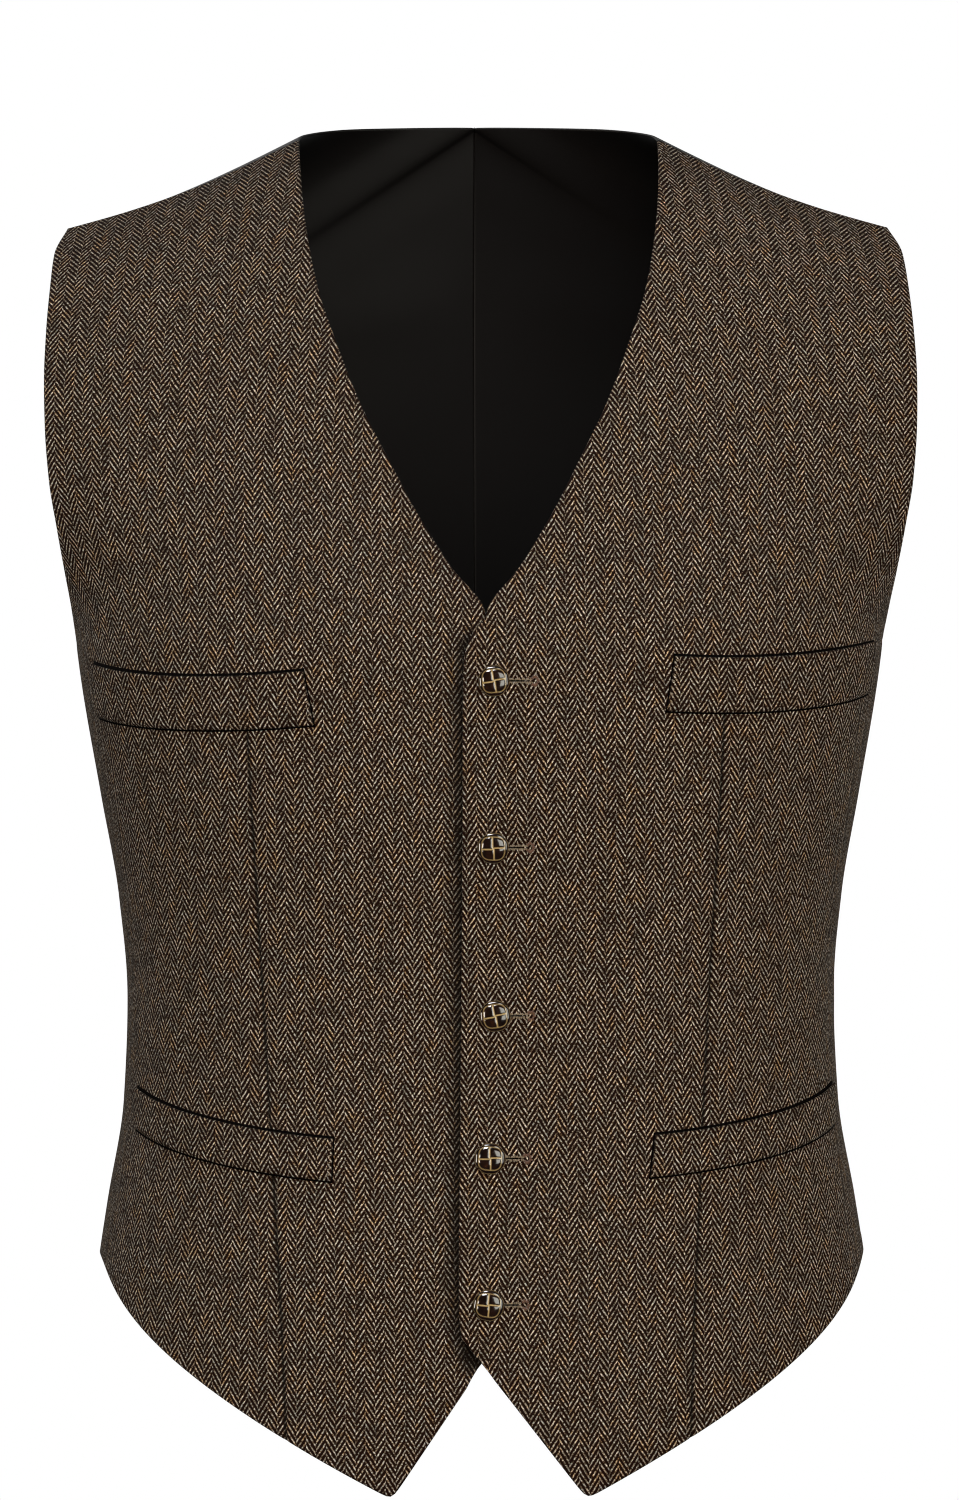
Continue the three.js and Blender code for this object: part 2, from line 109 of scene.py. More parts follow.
def build(name, points, faces, materials, kinds=None, weave=None, marks=None):
    """A smooth mesh from points in millimetres and rows of four corners; three-cornered faces repeat one."""
    faces = np.asarray(faces, np.int32)
    doubled = faces[:, 3] == faces[:, 0]
    sizes = np.where(doubled, CORNERS - 1, CORNERS)
    keep = np.ones(faces.shape, bool)
    keep[doubled, 3] = False
    corners = faces[keep]
    mesh = bpy.data.meshes.new(name)
    mesh.vertices.add(len(points))
    mesh.vertices.foreach_set("co", (np.asarray(points, float) * MM).astype(np.float32).ravel())
    mesh.loops.add(len(corners))
    mesh.loops.foreach_set("vertex_index", corners)
    mesh.polygons.add(len(faces))
    starts = np.concatenate([[0], np.cumsum(sizes)[:-1]]).astype(np.int32)
    mesh.polygons.foreach_set("loop_start", starts)
    mesh.polygons.foreach_set("use_smooth", np.ones(len(faces), bool))
    if kinds is not None:
        mesh.polygons.foreach_set("material_index", np.asarray(kinds, np.int32))
    if weave is not None:
        layer = mesh.uv_layers.new(name="weave")
        layer.uv.foreach_set("vector", (np.asarray(weave) * MM).astype(np.float32)[corners].ravel())
    for mark, values in (marks or {}).items():
        attribute = mesh.attributes.new(mark, "FLOAT", "POINT")
        attribute.data.foreach_set("value", np.asarray(values, np.float32).ravel())
    mesh.update(calc_edges=True)
    mesh.validate()
    for material in materials:
        mesh.materials.append(material)
    return into_scene(name, mesh)


def smooth_step(value, low, high):
    """0 below low, 1 above high, and 3t^2 - 2t^3 between."""
    t = np.clip((value - low) / (high - low), 0, 1)
    return t * t * (3 - 2 * t)


def bell(value, width):
    """1 at zero, fading to both sides as e^-(value / width)^2."""
    return np.exp(-((value / width) ** 2))


print("soft step a quarter of the way:", smooth_step(0.25, 0, 1), "bell at its width:", round(bell(1, 1), 3))

# %% [markdown]
# A tailor drafts a waistcoat from measures at set heights, and so does this file. Below the arms,
# each row of a table is a ring round the body: half its width, and how far the front and the back
# stand out. Above, each row is a section from the neckline to the armhole. A ring is a quarter of a
# rounded square, sin(a)^(2/n) across and cos(a)^(2/n) deep, where n = 2 would be an ellipse. The
# tables are the CAD part's own, so the finer panels lie on the same form.

# %% Tables of the form
# z, half width, front, back, and the fullness n of front and back
RINGS = np.array([
    [-226, 199.2, 123, 96.5, 2.62, 2.75],
    [-245, 196.8, 124.5, 95.5, 2.58, 2.68],
    [-300, 187.4, 124, 89.5, 2.48, 2.48],
    [-350, 178.8, 120, 84, 2.42, 2.36],
    [-400, 174.8, 117, 81, 2.4, 2.3],
    [-450, 176.8, 118, 84.5, 2.4, 2.3],
    [-500, 185, 121.5, 92.5, 2.4, 2.3],
    [-530, 189.6, 123.5, 98, 2.4, 2.3],
    [-580, 196, 126, 105, 2.4, 2.3],
    [-640, 202, 128, 110, 2.4, 2.3],
])
# distance down from the shoulder seam, inner x y z, outer x y z, first and last turn, fullness
FRONT_SHOULDER = np.array([
    [0, 89, -10, 24, 203.5, -4, -19, 34, 54, 2.4],
    [20, 88.5, -28, 13, 209.5, -20, -33, 31, 54, 2.4],
    [42, 87.3, -45, -5, 211, -34, -50, 28, 54, 2.4],
    [68, 84.5, -60, -28, 212.5, -45, -72, 25, 55, 2.45],
    [96, 79.5, -72, -54, 213.3, -53, -96, 22, 57, 2.5],
    [126, 70.3, -82, -82, 212.8, -57, -121, 19, 59, 2.55],
    [156, 59.7, -91, -110, 211, -57, -146, 15, 62, 2.6],
    [186, 46, -100, -138, 207.5, -52, -169, 11, 68, 2.65],
    [214, 31.4, -108.5, -166, 204, -43, -190, 7, 74, 2.65],
    [238, 16.5, -115.5, -190, 201, -29.5, -208, 3, 80.5, 2.65],
    [262, 0, -121.5, -214, 199.4, -10, -222.5, 0, 87.5, 2.63],
])
BACK_SHOULDER = np.array([
    [0, 89, -10, 24, 203.5, -4, -19, 34, 54, 2.4],
    [14, 87.5, 4, 27.5, 204.5, 9, -22.5, 33, 53, 2.4],
    [34, 79.5, 24, 31.5, 202.5, 25, -32.5, 31, 52, 2.4],
    [56, 62, 43, 35, 199.5, 40, -48, 28, 52, 2.45],
    [78, 36, 58, 37, 195.5, 52, -66, 20, 52, 2.5],
    [100, 0, 67, 38, 191.5, 61, -88, 10, 52, 2.55],
    [130, 0, 76, 8, 187.5, 67, -113, 6, 53, 2.65],
    [160, 0, 84, -32, 185, 69, -138, 3, 54, 2.75],
    [190, 0, 90.5, -80, 185, 65.5, -163, 1, 57, 2.8],
    [220, 0, 94.5, -130, 188, 55, -187, 0, 63.5, 2.8],
    [246, 0, 96.5, -178, 193.8, 36, -207.5, 0, 75, 2.8],
    [264, 0, 97, -211, 197.8, 14, -222, 0, 85.5, 2.77],
])
# distance down, share of the lap past the centre, x of the line to the hem's point, x of the dart
FRONT_GUIDES = np.array([
    [0, 0, 117, 148],
    [96, 0, 108, 141],
    [186, 0, 84, 128],
    [262, 0, 56, 117],
    [268, 0.42, 55, 117],
    [276, 0.82, 54, 116.5],
    [284, 0.96, 53, 116],
    [296, 1, 52, 115.5],
    [400, 1.06, 49, 110],
    [498, 1.16, 47, 104.5],
    [592, 1.26, 46, 99.4],
    [604, 1.18, 46, 98.8],
    [614, 0.92, 46, 98.5],
    [626, 0.4, 45.7, 98],
    [680, 0, 45, 96],
])
DOWN_AT_ZERO = 48  # below the arms, distance down is this less the height
HEM_FROM = 498  # rows of a front lean to the hem below here


def follow(rows, downs):
    """Cubic through a table's rows, with no overshoot: each slope is the harmonic mean of its two steps."""
    at, values = rows[:, 0], rows[:, 1:]
    span = np.diff(at)[:, None]
    step = np.diff(values, axis=0) / span
    before, after = step[:-1], step[1:]
    same = before * after > 0
    middle = np.where(same, 2 * before * after / np.where(same, before + after, 1), 0)
    slope = np.vstack([step[:1], middle, step[-1:]])
    k = np.clip(np.searchsorted(at, downs, side="right") - 1, 0, len(at) - 2)
    t = ((downs - at[k]) / span[k, 0])[:, None]
    inside = (1 + 2 * t) * (1 - t) ** 2 * values[k] + t * (1 - t) ** 2 * span[k] * slope[k]
    inside += t * t * (3 - 2 * t) * values[k + 1] + t * t * (t - 1) * span[k] * slope[k + 1]
    over = values[0] + slope[0] * (downs[:, None] - at[0])
    under = values[-1] + slope[-1] * (downs[:, None] - at[-1])
    return np.where(downs[:, None] < at[0], over, np.where(downs[:, None] > at[-1], under, inside))


def ring_rows(facing_and_shadow):
    """The rings as section rows: from the centre line out to the side seam, a whole quarter turn."""
    z, width, front, back, front_full, back_full = RINGS.T
    depth, full = (-front, front_full) if facing_and_shadow < 0 else (back, back_full)
    zero = np.zeros(len(z))
    return np.stack([DOWN_AT_ZERO - z, zero, depth, z, width, zero, z, zero, zero + 90, full], axis=1)


print("rows of the form:", len(FRONT_SHOULDER), "front,", len(BACK_SHOULDER), "back,", len(RINGS), "rings")

# %% [markdown]
# From those tables each side of the figure is worked out once as a fine sheet of points, half a
# millimetre apart down the body and 400 steps across. A panel then only has to say how far down and
# how far round each of its points lies, and looks the place up. That keeps every later step short.

# %% The form as two fine sheets
SHEET_STEP = 0.5
SEAM_SAG, SAG_ENDS = 4.2, 70
SHEET_TOP, SHEET_FOOT = -10, 760
SHARES = 400
EVEN_SHARES = np.linspace(0, 1, SHARES + 1)
DRAWN_TURNS = 360
CHEST_DOWN = 300


def draw_form(rows):
    """Sheet of a figure's half: places by distance down and by share of the way round, with each row's
    length. x follows sin(a)^(2/n) and y follows cos(a)^(2/n), and both are spread evenly by length."""
    downs = np.arange(SHEET_TOP, SHEET_FOOT, SHEET_STEP)
    columns = follow(rows, downs)[:, :, None].transpose(1, 0, 2)
    inner_x, inner_y, inner_z, outer_x, outer_y, outer_z, start, end, full = columns
    even = 0.5 - 0.5 * np.cos(np.pi * np.linspace(0, 1, DRAWN_TURNS + 1))
    start, end = np.radians(np.maximum(start, 0)), np.radians(np.minimum(end, 90))
    angle = start + (end - start) * even
    across = np.maximum(np.sin(angle), 0) ** (2 / full)
    along = np.maximum(np.cos(angle), 0) ** (2 / full)
    out = (across - across[:, :1]) / (across[:, -1:] - across[:, :1])
    deep = (along[:, :1] - along) / (along[:, :1] - along[:, -1:])
    inner_x = np.maximum(inner_x, 0)
    x = inner_x + (outer_x - inner_x) * out
    y = inner_y + (outer_y - inner_y) * deep
    run = np.hstack([np.zeros((len(downs), 1)), np.cumsum(np.hypot(np.diff(x), np.diff(y)), axis=1)])
    length = run[:, -1]
    sheet = np.empty((len(downs), SHARES + 1, 3))
    for k, reach in enumerate(length):
        sheet[k, :, 0] = np.interp(EVEN_SHARES * reach, run[k], x[k])
        sheet[k, :, 1] = np.interp(EVEN_SHARES * reach, run[k], y[k])
    sag = SEAM_SAG * np.maximum(1 - downs / SAG_ENDS, 0) ** 2
    sheet[:, :, 2] = inner_z + (outer_z - inner_z) * EVEN_SHARES - sag[:, None] * np.sin(np.pi * EVEN_SHARES)
    return {"downs": downs, "sheet": sheet, "length": length}


front_form = draw_form(np.vstack([FRONT_SHOULDER, ring_rows(-1)]))
back_form = draw_form(np.vstack([BACK_SHOULDER, ring_rows(1)]))
print("sheet of the form:", front_form["sheet"].shape[:2])

# %% [markdown]
# A panel asks the sheet for places by distance down and distance round. Two lines that the tables
# give by their x, the line to the hem's point and the dart, are turned into distances round here.

# %% Looking places up
NEARLY_ONE = 0.001


def form_length(form, down):
    """Length of a section from the centre or neckline to the side or armhole."""
    return np.interp(down, form["downs"], form["length"])


def on_form(form, down, girth):
    """The place at a distance down and a distance round, by weighing the four nearest points of the sheet."""
    down, girth = np.broadcast_arrays(np.asarray(down, float), np.asarray(girth, float))
    j = np.clip((down - SHEET_TOP) / SHEET_STEP, 0, len(form["downs"]) - 1 - NEARLY_ONE)
    i = np.clip(np.abs(girth) / form_length(form, down), 0, 1) * (SHARES - NEARLY_ONE)
    j0, i0 = j.astype(int), i.astype(int)
    fj, fi = (j - j0)[..., None], (i - i0)[..., None]
    sheet = form["sheet"]
    upper = sheet[j0, i0] * (1 - fi) + sheet[j0, i0 + 1] * fi
    lower = sheet[j0 + 1, i0] * (1 - fi) + sheet[j0 + 1, i0 + 1] * fi
    place = upper * (1 - fj) + lower * fj
    place[..., 0] *= np.where(girth < 0, -1, 1)
    return place


def girth_at_x(form, x):
    """For every row of the sheet, the distance round at which it stands x out from the centre."""
    found = [np.interp(place, row[:, 0], EVEN_SHARES) for place, row in zip(x, form["sheet"])]
    return np.array(found) * form["length"]


guides = follow(FRONT_GUIDES, front_form["downs"])
point_line = girth_at_x(front_form, guides[:, 1])
dart_line = girth_at_x(front_form, guides[:, 2])
print("quarter of the chest, mm:", round(float(form_length(front_form, CHEST_DOWN)), 1))

# %% [markdown]
# A front's edge runs past the centre where the garment is buttoned, and the left front rides over
# the right one. Its hem has two straight cuts that meet in a rounded point. A smooth maximum of the
# two cuts gives that rounding with one formula, so no corner needs to be mended by hand.

# %% Fronts: edges and hem
LAPS = {1: 11.3, -1: 19}
POINT_COLUMN, DART_COLUMN = 0.25, 0.5
NOTCH_Z, NOTCH_LEAN, POINT_DROP, POINT_GIRTH = -570.6, 3, 63.7, 46.5
HEM_RISE, HEM_BEND, POINT_ROUND = 0.505, 0.0006, 2.2
SIDE_HEM_Z, SIDE_ROUND, BACK_HEM_DROP = -526, 5, 7
HEM_TURNS = 6


def soft_higher(a, b, rounding):
    """The higher of two heights, turning softly: rounding * log(e^(a/rounding) + e^(b/rounding))."""
    return rounding * np.logaddexp(a / rounding, b / rounding)


def hem_height(side, girth):
    """Height of a front's hem: the notch's cut, the side's cut, and the level foot of the side seam."""
    lean = side * NOTCH_LEAN
    notch_cut = NOTCH_Z - POINT_DROP * (girth + lean) / (POINT_GIRTH + lean)
    out = girth - POINT_GIRTH
    side_cut = NOTCH_Z - POINT_DROP + HEM_RISE * out + HEM_BEND * out * np.abs(out)
    outer = -soft_higher(-side_cut, -SIDE_HEM_Z, SIDE_ROUND)
    return soft_higher(notch_cut, outer, POINT_ROUND)


def at_down(line, down):
    """A line's value at a distance down a front, straight between the rows of the sheet."""
    return np.interp(down, front_form["downs"], line)


def past_centre(side, down):
    """How far a front's edge runs past the centre: the lap's share at this height, times its width."""
    return at_down(guides[:, 0], down) * LAPS[side]


def front_girth(side, column, down):
    """Distance round for a column: 0 at the edge, then the point's line, the dart, and 1 at the side,
    with even steps between them."""
    edge, point, dart = -past_centre(side, down), at_down(point_line, down), at_down(dart_line, down)
    near = edge + (point - edge) * column / POINT_COLUMN
    middle = point + (dart - point) * (column - POINT_COLUMN) / (DART_COLUMN - POINT_COLUMN)
    far = dart + (form_length(front_form, down) - dart) * (column - DART_COLUMN) / (1 - DART_COLUMN)
    return np.where(column <= POINT_COLUMN, near, np.where(column <= DART_COLUMN, middle, far))


def front_down(side, column, row):
    """Distance down for a row: 0 at the shoulder, 1 where rows start to lean, 2 on the hem."""
    hem = np.full(np.broadcast(column, row).shape, float(HEM_FROM))
    for _ in range(HEM_TURNS):
        hem = DOWN_AT_ZERO - hem_height(side, front_girth(side, column, hem))
    return np.where(row <= 1, row * HEM_FROM, HEM_FROM + (hem - HEM_FROM) * (row - 1))


print("hem at the notch, z in mm:", [round(float(hem_height(side, 0.0)), 1) for side in (1, -1)])

# %% [markdown]
# What is sewn on a front, a welt or a button, has to find its place there and the way out of the
# cloth. The left front also has to clear the right one below it, so it is lifted near the centre.

# %% Places on a front
LAP_LIFT, LIFT_FULL_TO, LIFT_ENDS_AT = 3.1, 26, 95
SLOPE_STEP = 2.0


def on_front(side, down, girth):
    """A place on a front. The left one is lifted over the right one near the centre."""
    place = on_form(front_form, down, girth)
    if side > 0:
        place[..., 1] -= LAP_LIFT * (1 - smooth_step(place[..., 0], LIFT_FULL_TO, LIFT_ENDS_AT))
    place[..., 0] *= side
    return place


def out_of_front(side, down, girth):
    """The way out of a front at a place: the cross product of two short steps on it."""
    reach = np.minimum(girth, form_length(front_form, down) - SLOPE_STEP)
    across = on_front(side, down, reach + SLOPE_STEP) - on_front(side, down, reach - SLOPE_STEP)
    along = on_front(side, down + SLOPE_STEP, reach) - on_front(side, down - SLOPE_STEP, reach)
    normal = np.cross(along, across) * side
    return normal / np.linalg.norm(normal, axis=-1, keepdims=True)


def place_and_way(side, down, girth):
    """The place on a front and the way out of it."""
    return on_front(side, down, girth), out_of_front(side, down, girth)


def locate(x, z):
    """How far down and round the place on a front is that stands at x and z, closed in on by turns."""
    down = float(DOWN_AT_ZERO - z)
    for _ in range(HEM_TURNS):
        row = int(round((down - SHEET_TOP) / SHEET_STEP))
        share = np.interp(x, front_form["sheet"][row, :, 0], EVEN_SHARES)
        girth = x if x < 0 else float(share * front_form["length"][row])
        down += float(on_form(front_form, down, girth)[2] - z)
    return down, girth


print("x 87, z -350 lies down and round:", [round(v, 1) for v in locate(87.0, -350.0)])

# %% [markdown]
# Worn cloth is never quite smooth. The photo's fronts are well pressed, so only a few soft drags
# show: from the armholes, at the waist and near the buttons. Each is a row in a table, a long shallow
# trough (or a ridge, where the depth is negative) with its own length, lean and width. Satin is
# thinner and creases more, and the back gets vertical breaks at the waist of the same uneven kind.

# %% Creases, placed one by one
# side, down, distance round, length, lean from upright in degrees, width, depth
FRONT_CREASES = [
    (1, 236, 150, 90, 48, 15, 0.9),
    (1, 262, 128, 70, 40, 12, -0.6),
    (-1, 244, 146, 100, 52, 17, 1.0),
    (-1, 275, 120, 80, 44, 12, -0.5),
    (1, 428, 205, 70, 72, 11, 0.8),
    (1, 452, 190, 90, 80, 12, -0.6),
    (-1, 436, 208, 80, 68, 12, 0.9),
    (-1, 462, 186, 76, 78, 10, -0.6),
    (-1, 402, 214, 60, 62, 9, 0.6),
    (1, 330, 34, 60, 76, 9, 0.35),
    (1, 352, 40, 70, 84, 10, -0.35),
    (-1, 416, 40, 70, 80, 10, 0.4),
    (1, 545, 150, 90, 12, 18, 0.8),
    (-1, 550, 138, 100, 8, 16, 0.8),
    (1, 120, 60, 110, 14, 20, 0.7),
    (-1, 132, 66, 100, 20, 18, 0.7),
]
BACK_CREASES = [
    (1, 420, 34, 190, 5, 13, 2.2),
    (1, 436, 62, 150, 10, 11, -1.6),
    (1, 410, 92, 170, 14, 13, 1.8),
    (1, 455, 128, 120, 24, 12, -1.3),
    (-1, 428, 42, 170, 3, 14, 2.0),
    (-1, 408, 74, 180, 9, 12, -1.7),
    (-1, 446, 106, 140, 18, 12, 1.7),
    (-1, 420, 150, 110, 30, 11, -1.1),
    (1, 238, 118, 130, 38, 18, 1.6),
    (1, 262, 92, 110, 46, 15, -1.0),
    (-1, 246, 122, 120, 44, 17, 1.5),
    (-1, 226, 98, 100, 36, 14, -0.9),
    (1, 522, 74, 90, 3, 15, 1.2),
    (-1, 516, 92, 100, -4, 16, 1.3),
    (1, 152, 52, 90, 70, 14, 0.9),
    (-1, 158, 46, 80, 74, 13, 0.9),
]


def crease_depth(creases, side, down, girth):
    """Sum of the troughs: depth * exp(-(across / width)^2) * exp(-(along / half length)^4)."""
    total = np.zeros(np.shape(down))
    for owner, centre_down, centre_girth, length, lean, width, depth in creases:
        if owner != side:
            continue
        turn = math.radians(lean)
        along = (down - centre_down) * math.cos(turn) - (girth - centre_girth) * math.sin(turn)
        across = (down - centre_down) * math.sin(turn) + (girth - centre_girth) * math.cos(turn)
        total += depth * np.exp(-((across / width) ** 2) - (2 * along / length) ** 4)
    return total


print("creases:", len(FRONT_CREASES), "on the fronts,", len(BACK_CREASES), "on the back")

# %% [markdown]
# A panel of cloth is a closed shell: an outer and an inner grid that share their rim. Near the rim
# both draw together along a quarter circle, which gives the soft turned edge of lined cloth instead
# of a knife cut. The grids are denser at the edges and along the dart, where the form turns fast.

# %% Shells of cloth
EDGE_ROUND = 1.3
RIM_STEPS = (0.12, 0.4, 0.8, 1.3, 2.2)


def near_edges(length, low, high, count, first=True, last=True):
    """count even steps between two values, with the rim's finer steps added at the ends that are edges."""
    values = list(np.linspace(low, high, count + 1))
    scale = (high - low) / length
    values += [low + step * scale for step in RIM_STEPS] if first else []
    values += [high - step * scale for step in RIM_STEPS] if last else []
    return values


def directions(points, outward):
    """Unit normals of a grid, from the steps between neighbours."""
    across = np.gradient(points, axis=1)
    along = np.gradient(points, axis=0)
    normal = np.cross(along, across) * outward
    return normal / np.linalg.norm(normal, axis=-1, keepdims=True)


def edge_distance(points):
    """Distance of each grid point to the nearest of the grid's four edges, along its rows and columns."""
    across = np.cumsum(np.linalg.norm(np.diff(points, axis=1, prepend=points[:, :1]), axis=-1), axis=1)
    along = np.cumsum(np.linalg.norm(np.diff(points, axis=0, prepend=points[:1]), axis=-1), axis=0)
    return np.minimum.reduce([across, across[:, -1:] - across, along, along[-1:] - along])


def close_shell(outer, inner, turned):
    """Points and faces of two grids that share their rim. turned is true where the grid's own order
    of corners faces in."""
    first = np.arange(outer[..., 0].size).reshape(outer.shape[:2])
    second = first.copy()
    second[1:-1, 1:-1] = first.size + np.arange(first[1:-1, 1:-1].size).reshape(first[1:-1, 1:-1].shape)
    faces = []
    for grid, order in ((first, turned), (second, not turned)):
        quads = np.stack([grid[:-1, :-1], grid[1:, :-1], grid[1:, 1:], grid[:-1, 1:]], axis=-1)
        quads = quads.reshape(-1, CORNERS)
        faces.append(quads[:, ::-1] if order else quads)
    return np.vstack([outer.reshape(-1, 3), inner[1:-1, 1:-1].reshape(-1, 3)]), np.vstack(faces)


def both_layers(values):
    """A grid's values for the outer points and then for the inner ones."""
    width = values.shape[2] if values.ndim > 2 else 1
    return np.vstack([values.reshape(-1, width), values[1:-1, 1:-1].reshape(-1, width)])


def cloth(name, surface, normals, layers, turned, weave, painted_shade, materials):
    """Closed panel on a surface: the outer layer on it, the inner one a wall below, both rounded to
    the rim along a quarter circle. layers is the wall, the depth of the rim, and how far the outer
    cloth is turned in, where the second material starts."""
    wall, rim_depth, turn_in = layers
    edge = edge_distance(surface)
    rise = np.sqrt(1 - (1 - np.minimum(edge / EDGE_ROUND, 1)) ** 2)[..., None]
    outer = surface - normals * rim_depth * (1 - rise)
    inner = surface - normals * (rim_depth + (wall - rim_depth) * rise)
    points, faces = close_shell(outer, inner, turned)
    cells = edge[:-1, :-1].size
    inside = (edge[:-1, :-1] >= turn_in).ravel()
    kinds = np.concatenate([np.zeros(cells), inside.astype(float)])
    # each point's painted shade goes to the material as an attribute
    return build(name, points, faces, materials, kinds, both_layers(weave), {"painted_shade": both_layers(painted_shade)})


print("finer steps at a rim, mm:", RIM_STEPS)

# %% [markdown]
# Tweed is wool, carded and woven in a herringbone: a 2/2 twill whose slope turns round every eight
# threads. A light brown-beige warp crosses a nearly black weft, so the slopes show as zigzags, with a
# bead where each thread comes up, painted lighter where it rises: partly the yarn's unevenness and
# partly a painted highlight. The weave follows the cloth, so the material reads the panel's own flat
# coordinates in millimetres, the UV map named weave. The pattern itself is reckoned with mathematics
# nodes: a zigzag of the width coordinate is added to the length coordinate, and the sine of that sum
# makes the ribs. Wool is very rough, with a slight sheen from its fibre ends.

# %% Tweed, woven in herringbone
ARM_WIDTH = 4.76  # eight threads of 0.6 mm
LINE_RISE = 3.6  # four picks of 0.9 mm, the repeat down the cloth
LINE_ACROSS = 2.34  # the repeat across it, where a rib climbs at 57 degrees
BEAD = 1.15  # one thread's float, drawn as coarse as it needs to show
# how far the painted shade darkens the tweed at most
PAINTED_SHADE_DEPTH = 0.88


def tweed_material():
    """Woven wool: ribs of light warp on dark weft, matt, with the least sheen from the fibre ends."""
    material, tree, shader = new_material("wool_tweed_herringbone_woven", {
        "Roughness": 0.92,
        "IOR": 1.53,
        "Specular IOR Level": 0.06,
        "Sheen Weight": 0.015,
        "Sheen Roughness": 0.5,
        "Sheen Tint": "#b9a68c",
    })
    flat = add(tree, "UVMap", uv_map="weave")
    mm = add(tree, "VectorMath", {0: flat, "Scale": 1000.0}, operation="SCALE")
    parts = add(tree, "SeparateXYZ", {0: mm})
    # the loom's beat and the pressing leave no thread quite straight: a drift about 22 mm wide
    wander = add(tree, "TexNoise", {"Vector": mm, "Scale": 0.045, "Detail": 2.0})
    drift = add(tree, "MapRange", {"Value": wander, "To Min": -0.5, "To Max": 0.5})
    u = add(tree, "Math", {0: parts.outputs["X"], 1: drift}, operation="ADD")
    v = add(tree, "Math", {0: parts.outputs["Y"], 1: drift}, operation="SUBTRACT")
    arm = add(tree, "Math", {0: u, 1: ARM_WIDTH}, operation="PINGPONG")
    climb = add(tree, "Math", {0: arm, 1: 1 / LINE_ACROSS}, operation="MULTIPLY")
    phase = add(tree, "Math", {0: v, 1: 1 / LINE_RISE, 2: climb}, operation="MULTIPLY_ADD")
    # at each turn the ribs of one arm meet the gaps of the next: half a repeat more for every arm
    arms = add(tree, "Math", {0: u, 1: ARM_WIDTH}, operation="DIVIDE")
    arms = add(tree, "Math", {0: arms}, operation="FLOOR")
    phase = add(tree, "Math", {0: arms, 1: 0.5, 2: phase}, operation="MULTIPLY_ADD")
    wave = add(tree, "Math", {0: phase, 1: 2 * math.pi}, operation="MULTIPLY")
    wave = add(tree, "Math", {0: wave}, operation="SINE")
    climbs = {"Value": wave, "From Min": 0.0, "From Max": 0.95}
    rib = add(tree, "MapRange", climbs, interpolation_type="SMOOTHSTEP")
    # threads: beads where the warp floats; the noise that raises each bead also paints its colour from dark
    # to near white, partly the yarn's own unevenness and partly a painted highlight on the raised thread
    beads_and_highlight = add(tree, "TexNoise", {"Vector": mm, "Scale": 1 / BEAD, "Detail": 1.5, "Roughness": 0.7})
    warp = add(tree, "ValToRGB", {"Fac": beads_and_highlight}, stops=[
        (0.35, "#2c1b0d"), (0.45, "#836e59"), (0.55, "#c8beaf"), (0.66, "#fffcf7"),
    ])
    # flecks of other wools carded in, in patches longer than wide
    stretched = add(tree, "Mapping", {"Vector": mm, "Scale": (0.17, 0.08, 1.0)})
    patch = add(tree, "TexNoise", {"Vector": stretched, "Scale": 1.0, "Detail": 4.0, "Roughness": 0.85})
    tint = add(tree, "ValToRGB", {"Fac": patch}, stops=[
        (0.36, "#a9a69f"), (0.46, "#e4dfd6"), (0.53, "#fff4e7"), (0.62, "#ffdfb4"),
    ])
    warm = add(tree, "MixRGB", {"Fac": 1.0, "Color1": warp, "Color2": tint}, blend_type="MULTIPLY")
    woven = add(tree, "MixRGB", {"Fac": rib, "Color1": "#1a0600", "Color2": warm})
    # painted shade: a shade attribute mixes the tweed's colour toward near-black in the dart, at the edges
    # and by the lap, standing in for the shade that falls there
    painted_shade = add(tree, "Attribute", attribute_name="painted_shade")
    shade = add(tree, "Math", {0: painted_shade.outputs["Fac"], 1: PAINTED_SHADE_DEPTH}, operation="MULTIPLY")
    colour = add(tree, "MixRGB", {"Fac": shade, "Color1": woven, "Color2": "#0c0704"})
    relief = add(tree, "Math", {0: rib, 1: beads_and_highlight}, operation="MULTIPLY")
    bump = add(tree, "Bump", {"Height": relief, "Strength": 0.5, "Distance": 0.00012})
    tree.links.new(colour.outputs[0], shader.inputs["Base Color"])
    tree.links.new(bump.outputs[0], shader.inputs["Normal"])
    return material


tweed = tweed_material()
print("tweed:", len(tweed.node_tree.nodes), "nodes")

# %% [markdown]
# The back and the lining are viscose satin. Its long floats lie side by side and gloss like a soft
# metal, but the cloth is nearly black, so only broad highlights show on its creases. A faint, wide
# unevenness in the bump stands for the slack of a thin lined panel.

# %% Satin for the back and the lining
def satin_material(name, hex_code, roughness, specular, sheen):
    """Woven viscose with long floats: a near-black cloth whose gloss is broad and soft."""
    material, tree, shader = new_material(name, {
        "Base Color": hex_code,
        "Roughness": roughness,
        "IOR": 1.5,
        "Specular IOR Level": specular,
        "Sheen Weight": sheen,
        "Sheen Roughness": 0.3,
    })
    place = add(tree, "TexCoord")
    # scales are per metre: slack about 38 mm wide, and threads drawn 1.1 mm apart so that they can show
    slack = add(tree, "TexNoise", {"Vector": place.outputs["Object"], "Scale": 26.0, "Detail": 2.0})
    threads = add(tree, "TexNoise", {"Vector": place.outputs["Object"], "Scale": 900.0, "Detail": 1.0})
    height = add(tree, "Math", {0: threads, 1: 0.04, 2: slack}, operation="MULTIPLY_ADD")
    bump = add(tree, "Bump", {"Height": height, "Strength": 0.5, "Distance": 0.0008})
    tree.links.new(bump.outputs[0], shader.inputs["Normal"])
    return material


satin = satin_material("viscose_satin_back", "#0d0b0a", 0.42, 0.45, 0.12)
lining = satin_material("viscose_satin_lining", "#0c0908", 0.56, 0.12, 0.03)
print("satin:", satin.name, "and", lining.name)

